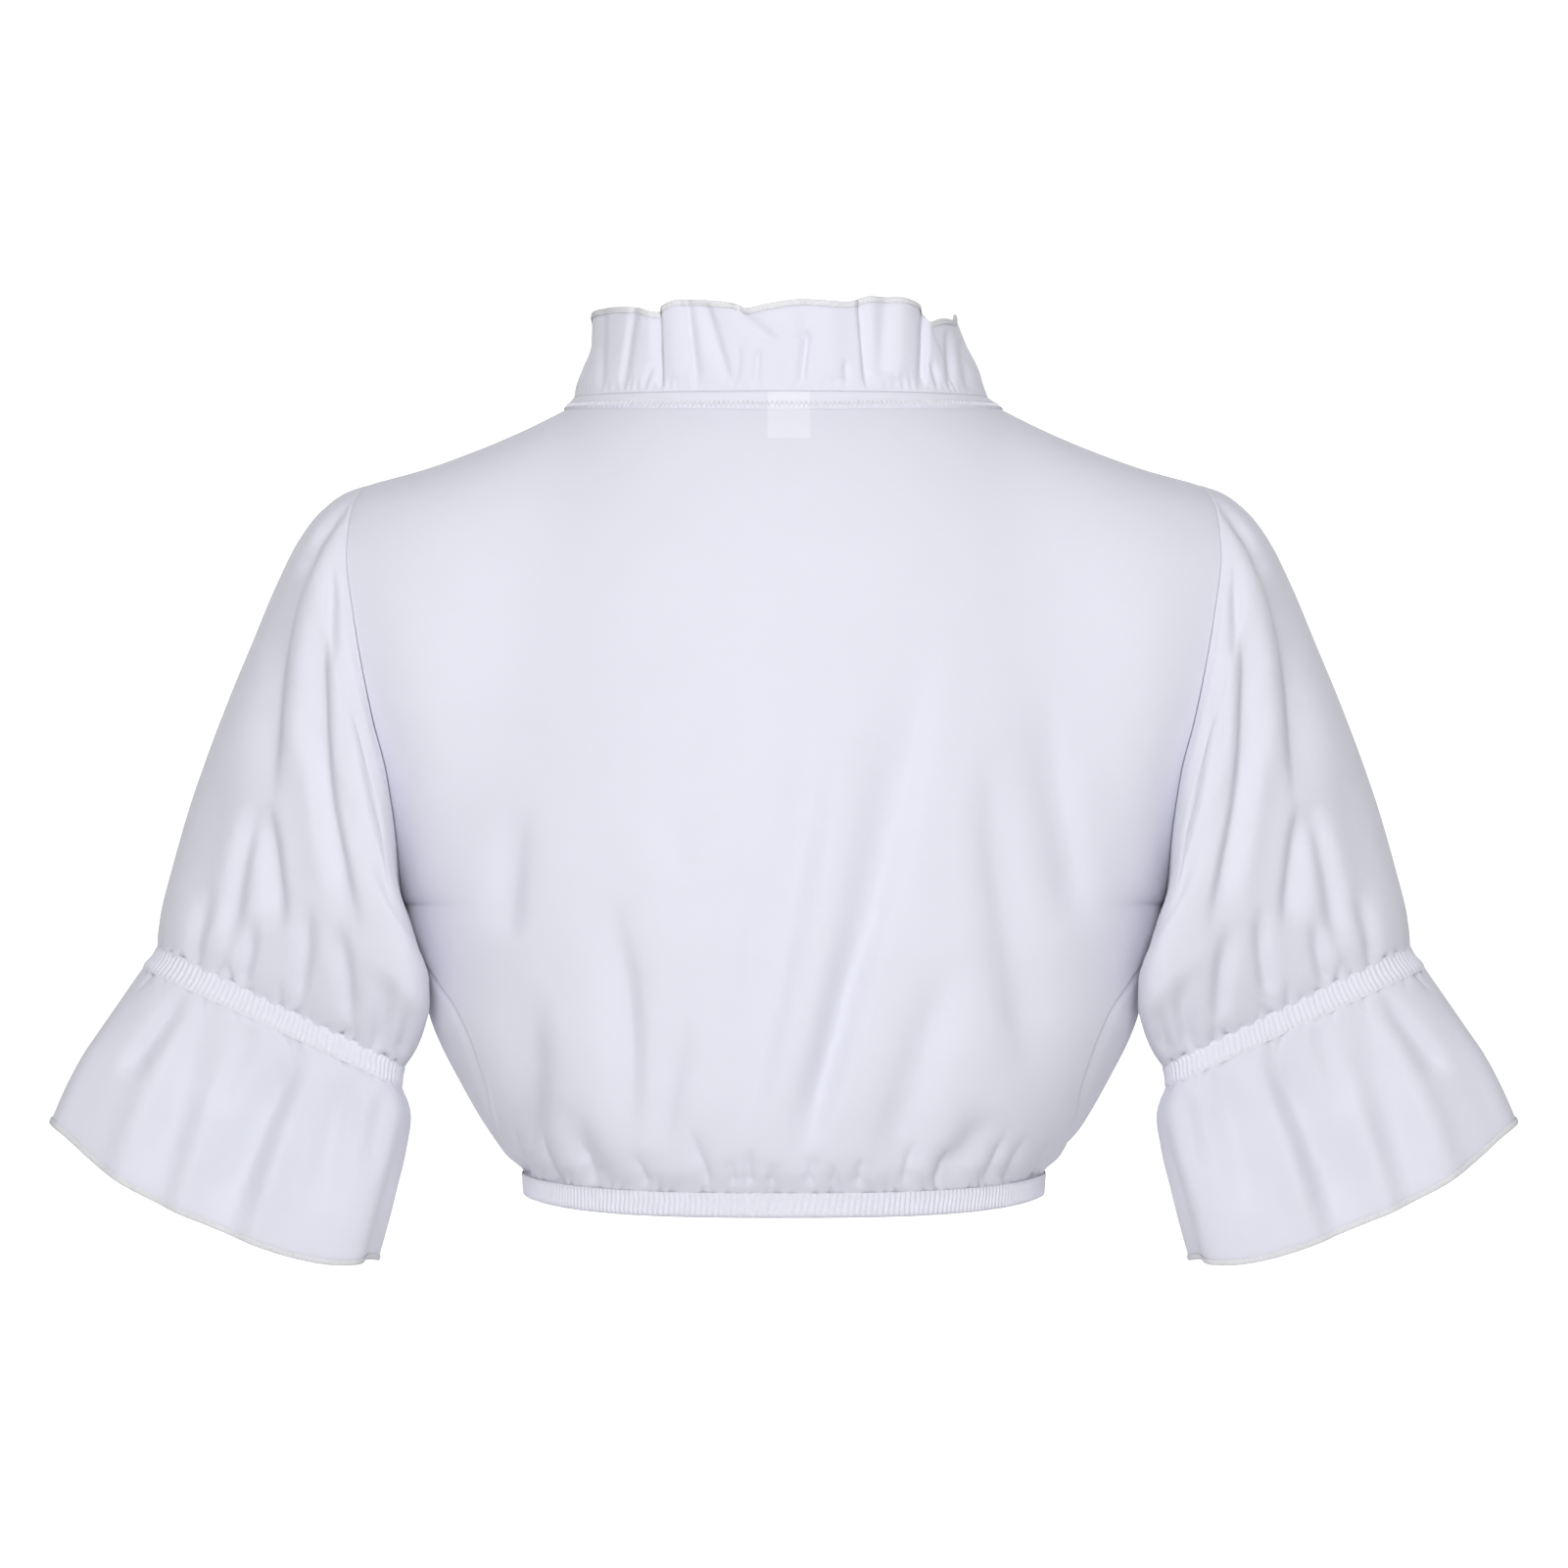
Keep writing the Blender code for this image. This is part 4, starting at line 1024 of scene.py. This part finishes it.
def thread_material(name, colour, shade=0.84):
    """Smooth polyester sewing thread."""
    material = bpy.data.materials.new(name)
    material.use_nodes = True
    nodes, links = material.node_tree.nodes, material.node_tree.links
    shader = nodes["Principled BSDF"]
    shader.inputs["Roughness"].default_value = 0.55
    shader.inputs["Sheen Weight"].default_value = 0.15
    place = nodes.new("ShaderNodeTexCoord")
    noise = nodes.new("ShaderNodeTexNoise")
    noise.inputs["Scale"].default_value = 1400
    links.new(place.outputs["Object"], noise.inputs["Vector"])
    mix = nodes.new("ShaderNodeMix")
    mix.data_type = "RGBA"
    mix.inputs["A"].default_value = [c * shade for c in colour[:3]] + [1]
    mix.inputs["B"].default_value = colour
    links.new(noise.outputs["Fac"], mix.inputs["Factor"])
    links.new(mix.outputs["Result"], shader.inputs["Base Color"])
    bump = nodes.new("ShaderNodeBump")
    bump.inputs["Strength"].default_value = 0.4
    bump.inputs["Distance"].default_value = 0.00006
    links.new(noise.outputs["Fac"], bump.inputs["Height"])
    links.new(bump.outputs["Normal"], shader.inputs["Normal"])
    return material


def floor_and_backdrop():
    """A white sweep: a floor well below the blouse that curves up behind it."""
    profile = []
    for y in np.linspace(SWEEP_FRONT, SWEEP_BEND, 12):
        profile.append((y, FLOOR_Z))
    for angle in np.linspace(0, math.pi / 2, 16)[1:]:
        y = SWEEP_BEND + SWEEP_RADIUS * math.sin(angle)
        profile.append((y, FLOOR_Z + SWEEP_RADIUS * (1 - math.cos(angle))))
    profile.append((SWEEP_BEND + SWEEP_RADIUS, SWEEP_TOP))
    verts, faces = [], []
    for y, z in profile:
        verts += [(-SWEEP_HALF, y, z), (SWEEP_HALF, y, z)]
    for k in range(len(profile) - 1):
        faces.append((2 * k, 2 * k + 1, 2 * k + 3, 2 * k + 2))
    mesh = bpy.data.meshes.new("floor_sweep")
    mesh.from_pydata(verts, [], faces)
    mesh.polygons.foreach_set("use_smooth", np.ones(len(faces), bool))
    material = bpy.data.materials.new("floor_paper")
    material.use_nodes = True
    shader = material.node_tree.nodes["Principled BSDF"]
    shader.inputs["Base Color"].default_value = (0.98, 0.98, 0.98, 1)
    shader.inputs["Roughness"].default_value = 0.95
    shader.inputs["Emission Color"].default_value = (1, 1, 1, 1)
    place = material.node_tree.nodes.new("ShaderNodeTexCoord")
    split = material.node_tree.nodes.new("ShaderNodeSeparateXYZ")
    glow = material.node_tree.nodes.new("ShaderNodeMapRange")
    glow.inputs["From Min"].default_value = 0.15
    glow.inputs["From Max"].default_value = 0.55
    glow.inputs["To Max"].default_value = 0.75
    links = material.node_tree.links
    links.new(place.outputs["Object"], split.inputs["Vector"])
    links.new(split.outputs["Y"], glow.inputs["Value"])
    links.new(glow.outputs["Result"], shader.inputs["Emission Strength"])
    mesh.materials.append(material)
    obj = bpy.data.objects.new("floor_sweep", mesh)
    bpy.context.scene.collection.objects.link(obj)


def area_light(name, place, size, watts):
    """A soft rectangular light that faces the blouse and isn't seen itself."""
    light = bpy.data.lights.new(name, "AREA")
    light.shape = "RECTANGLE"
    light.size, light.size_y = size
    light.energy = watts
    obj = bpy.data.objects.new(name, light)
    obj.visible_camera = False
    obj.location = place
    way = np.array(LIGHT_TARGET, float) - np.array(place, float)
    obj.rotation_euler = Vector(way).to_track_quat("-Z", "Y").to_euler()
    bpy.context.scene.collection.objects.link(obj)


def studio():
    """Even white surroundings, one broad soft light near the camera and one from above."""
    scene = bpy.context.scene
    world = bpy.data.worlds.new("studio")
    world.use_nodes = True
    world.node_tree.nodes["Background"].inputs["Color"].default_value = (1, 1, 1, 1)
    world.node_tree.nodes["Background"].inputs["Strength"].default_value = WORLD_STRENGTH
    scene.world = world
    scene.view_settings.view_transform = "Standard"
    for light in LIGHTS:
        area_light(*light)
    camera = bpy.data.cameras.new("camera")
    camera.sensor_width = SENSOR
    camera.lens = SENSOR * VIEW_DISTANCE / FRAME_WIDTH
    obj = bpy.data.objects.new("camera", camera)
    obj.location = (CAMERA_X, -VIEW_DISTANCE * MM, VIEW_HEIGHT * MM)
    obj.rotation_euler = (math.pi / 2, 0, 0)
    scene.collection.objects.link(obj)
    scene.camera = obj


def main():
    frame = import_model()

    cloth = cloth_material("cloth_crepe", CLOTH)
    back_cloth = cloth_material("cloth_crepe_back", CLOTH, label_patch=True)
    elastic = cloth_material("cloth_shirred", ELASTIC, 0.3)
    thread = thread_material("thread_white", THREAD)
    edging = thread_material("thread_edging", EDGING, 0.74)

    back = cloth_object("back_panel", panel_grid(BACK, *BACK_MESH), False, back_cloth, "back")
    front = cloth_object("front_panel", panel_grid(FRONT, *FRONT_MESH), False, cloth, "front")
    band = neckband_grid(*NECKBAND_MESH)
    neckband = cloth_object("neck_binding", band, True, back_cloth, "neckband", 0.8)
    ruffle_points = ruffle_grid(*RUFFLE_MESH)
    ruffle = cloth_object("ruffle", ruffle_points, True, cloth, "collar_ruffle", 0.35)
    ruffle_edge = overlock("ruffle_edging", ruffle_points, True, edging)
    lifted = band + grid_normals(band, True) * 0.25
    stitches = zigzag("neck_stitches", lifted[1], lifted[4], thread)
    ring = casing_grid(*CASING_MESH)
    casing = cloth_object("hem_elastic", ring, True, elastic, "hem_casing")
    for word, side in (("left", -1), ("right", 1)):
        grid = sleeve_grid(side, *SLEEVE_MESH)
        sleeve = cloth_object("sleeve_shell_" + word, grid, True, cloth, "sleeve_" + word)
        grid = ribbed_band(side, CUFF_COLUMNS)
        name = "sleeve_elastic_" + word
        cuff = cloth_object(name, grid, True, elastic, "sleeve_band_" + word)
        grid = flounce_grid(side, *FLOUNCE_MESH)
        flounce = cloth_object("flounce_shell_" + word, grid, True, cloth, "flounce_" + word, 0.35)
        edge = overlock("flounce_edging_" + word, grid, True, edging)
    label = frame["nodes"]["neck_label"]
    label.data.materials.clear()
    label.data.materials.append(thread_material("label_tape", LABEL))

    floor_and_backdrop()
    studio()


main()
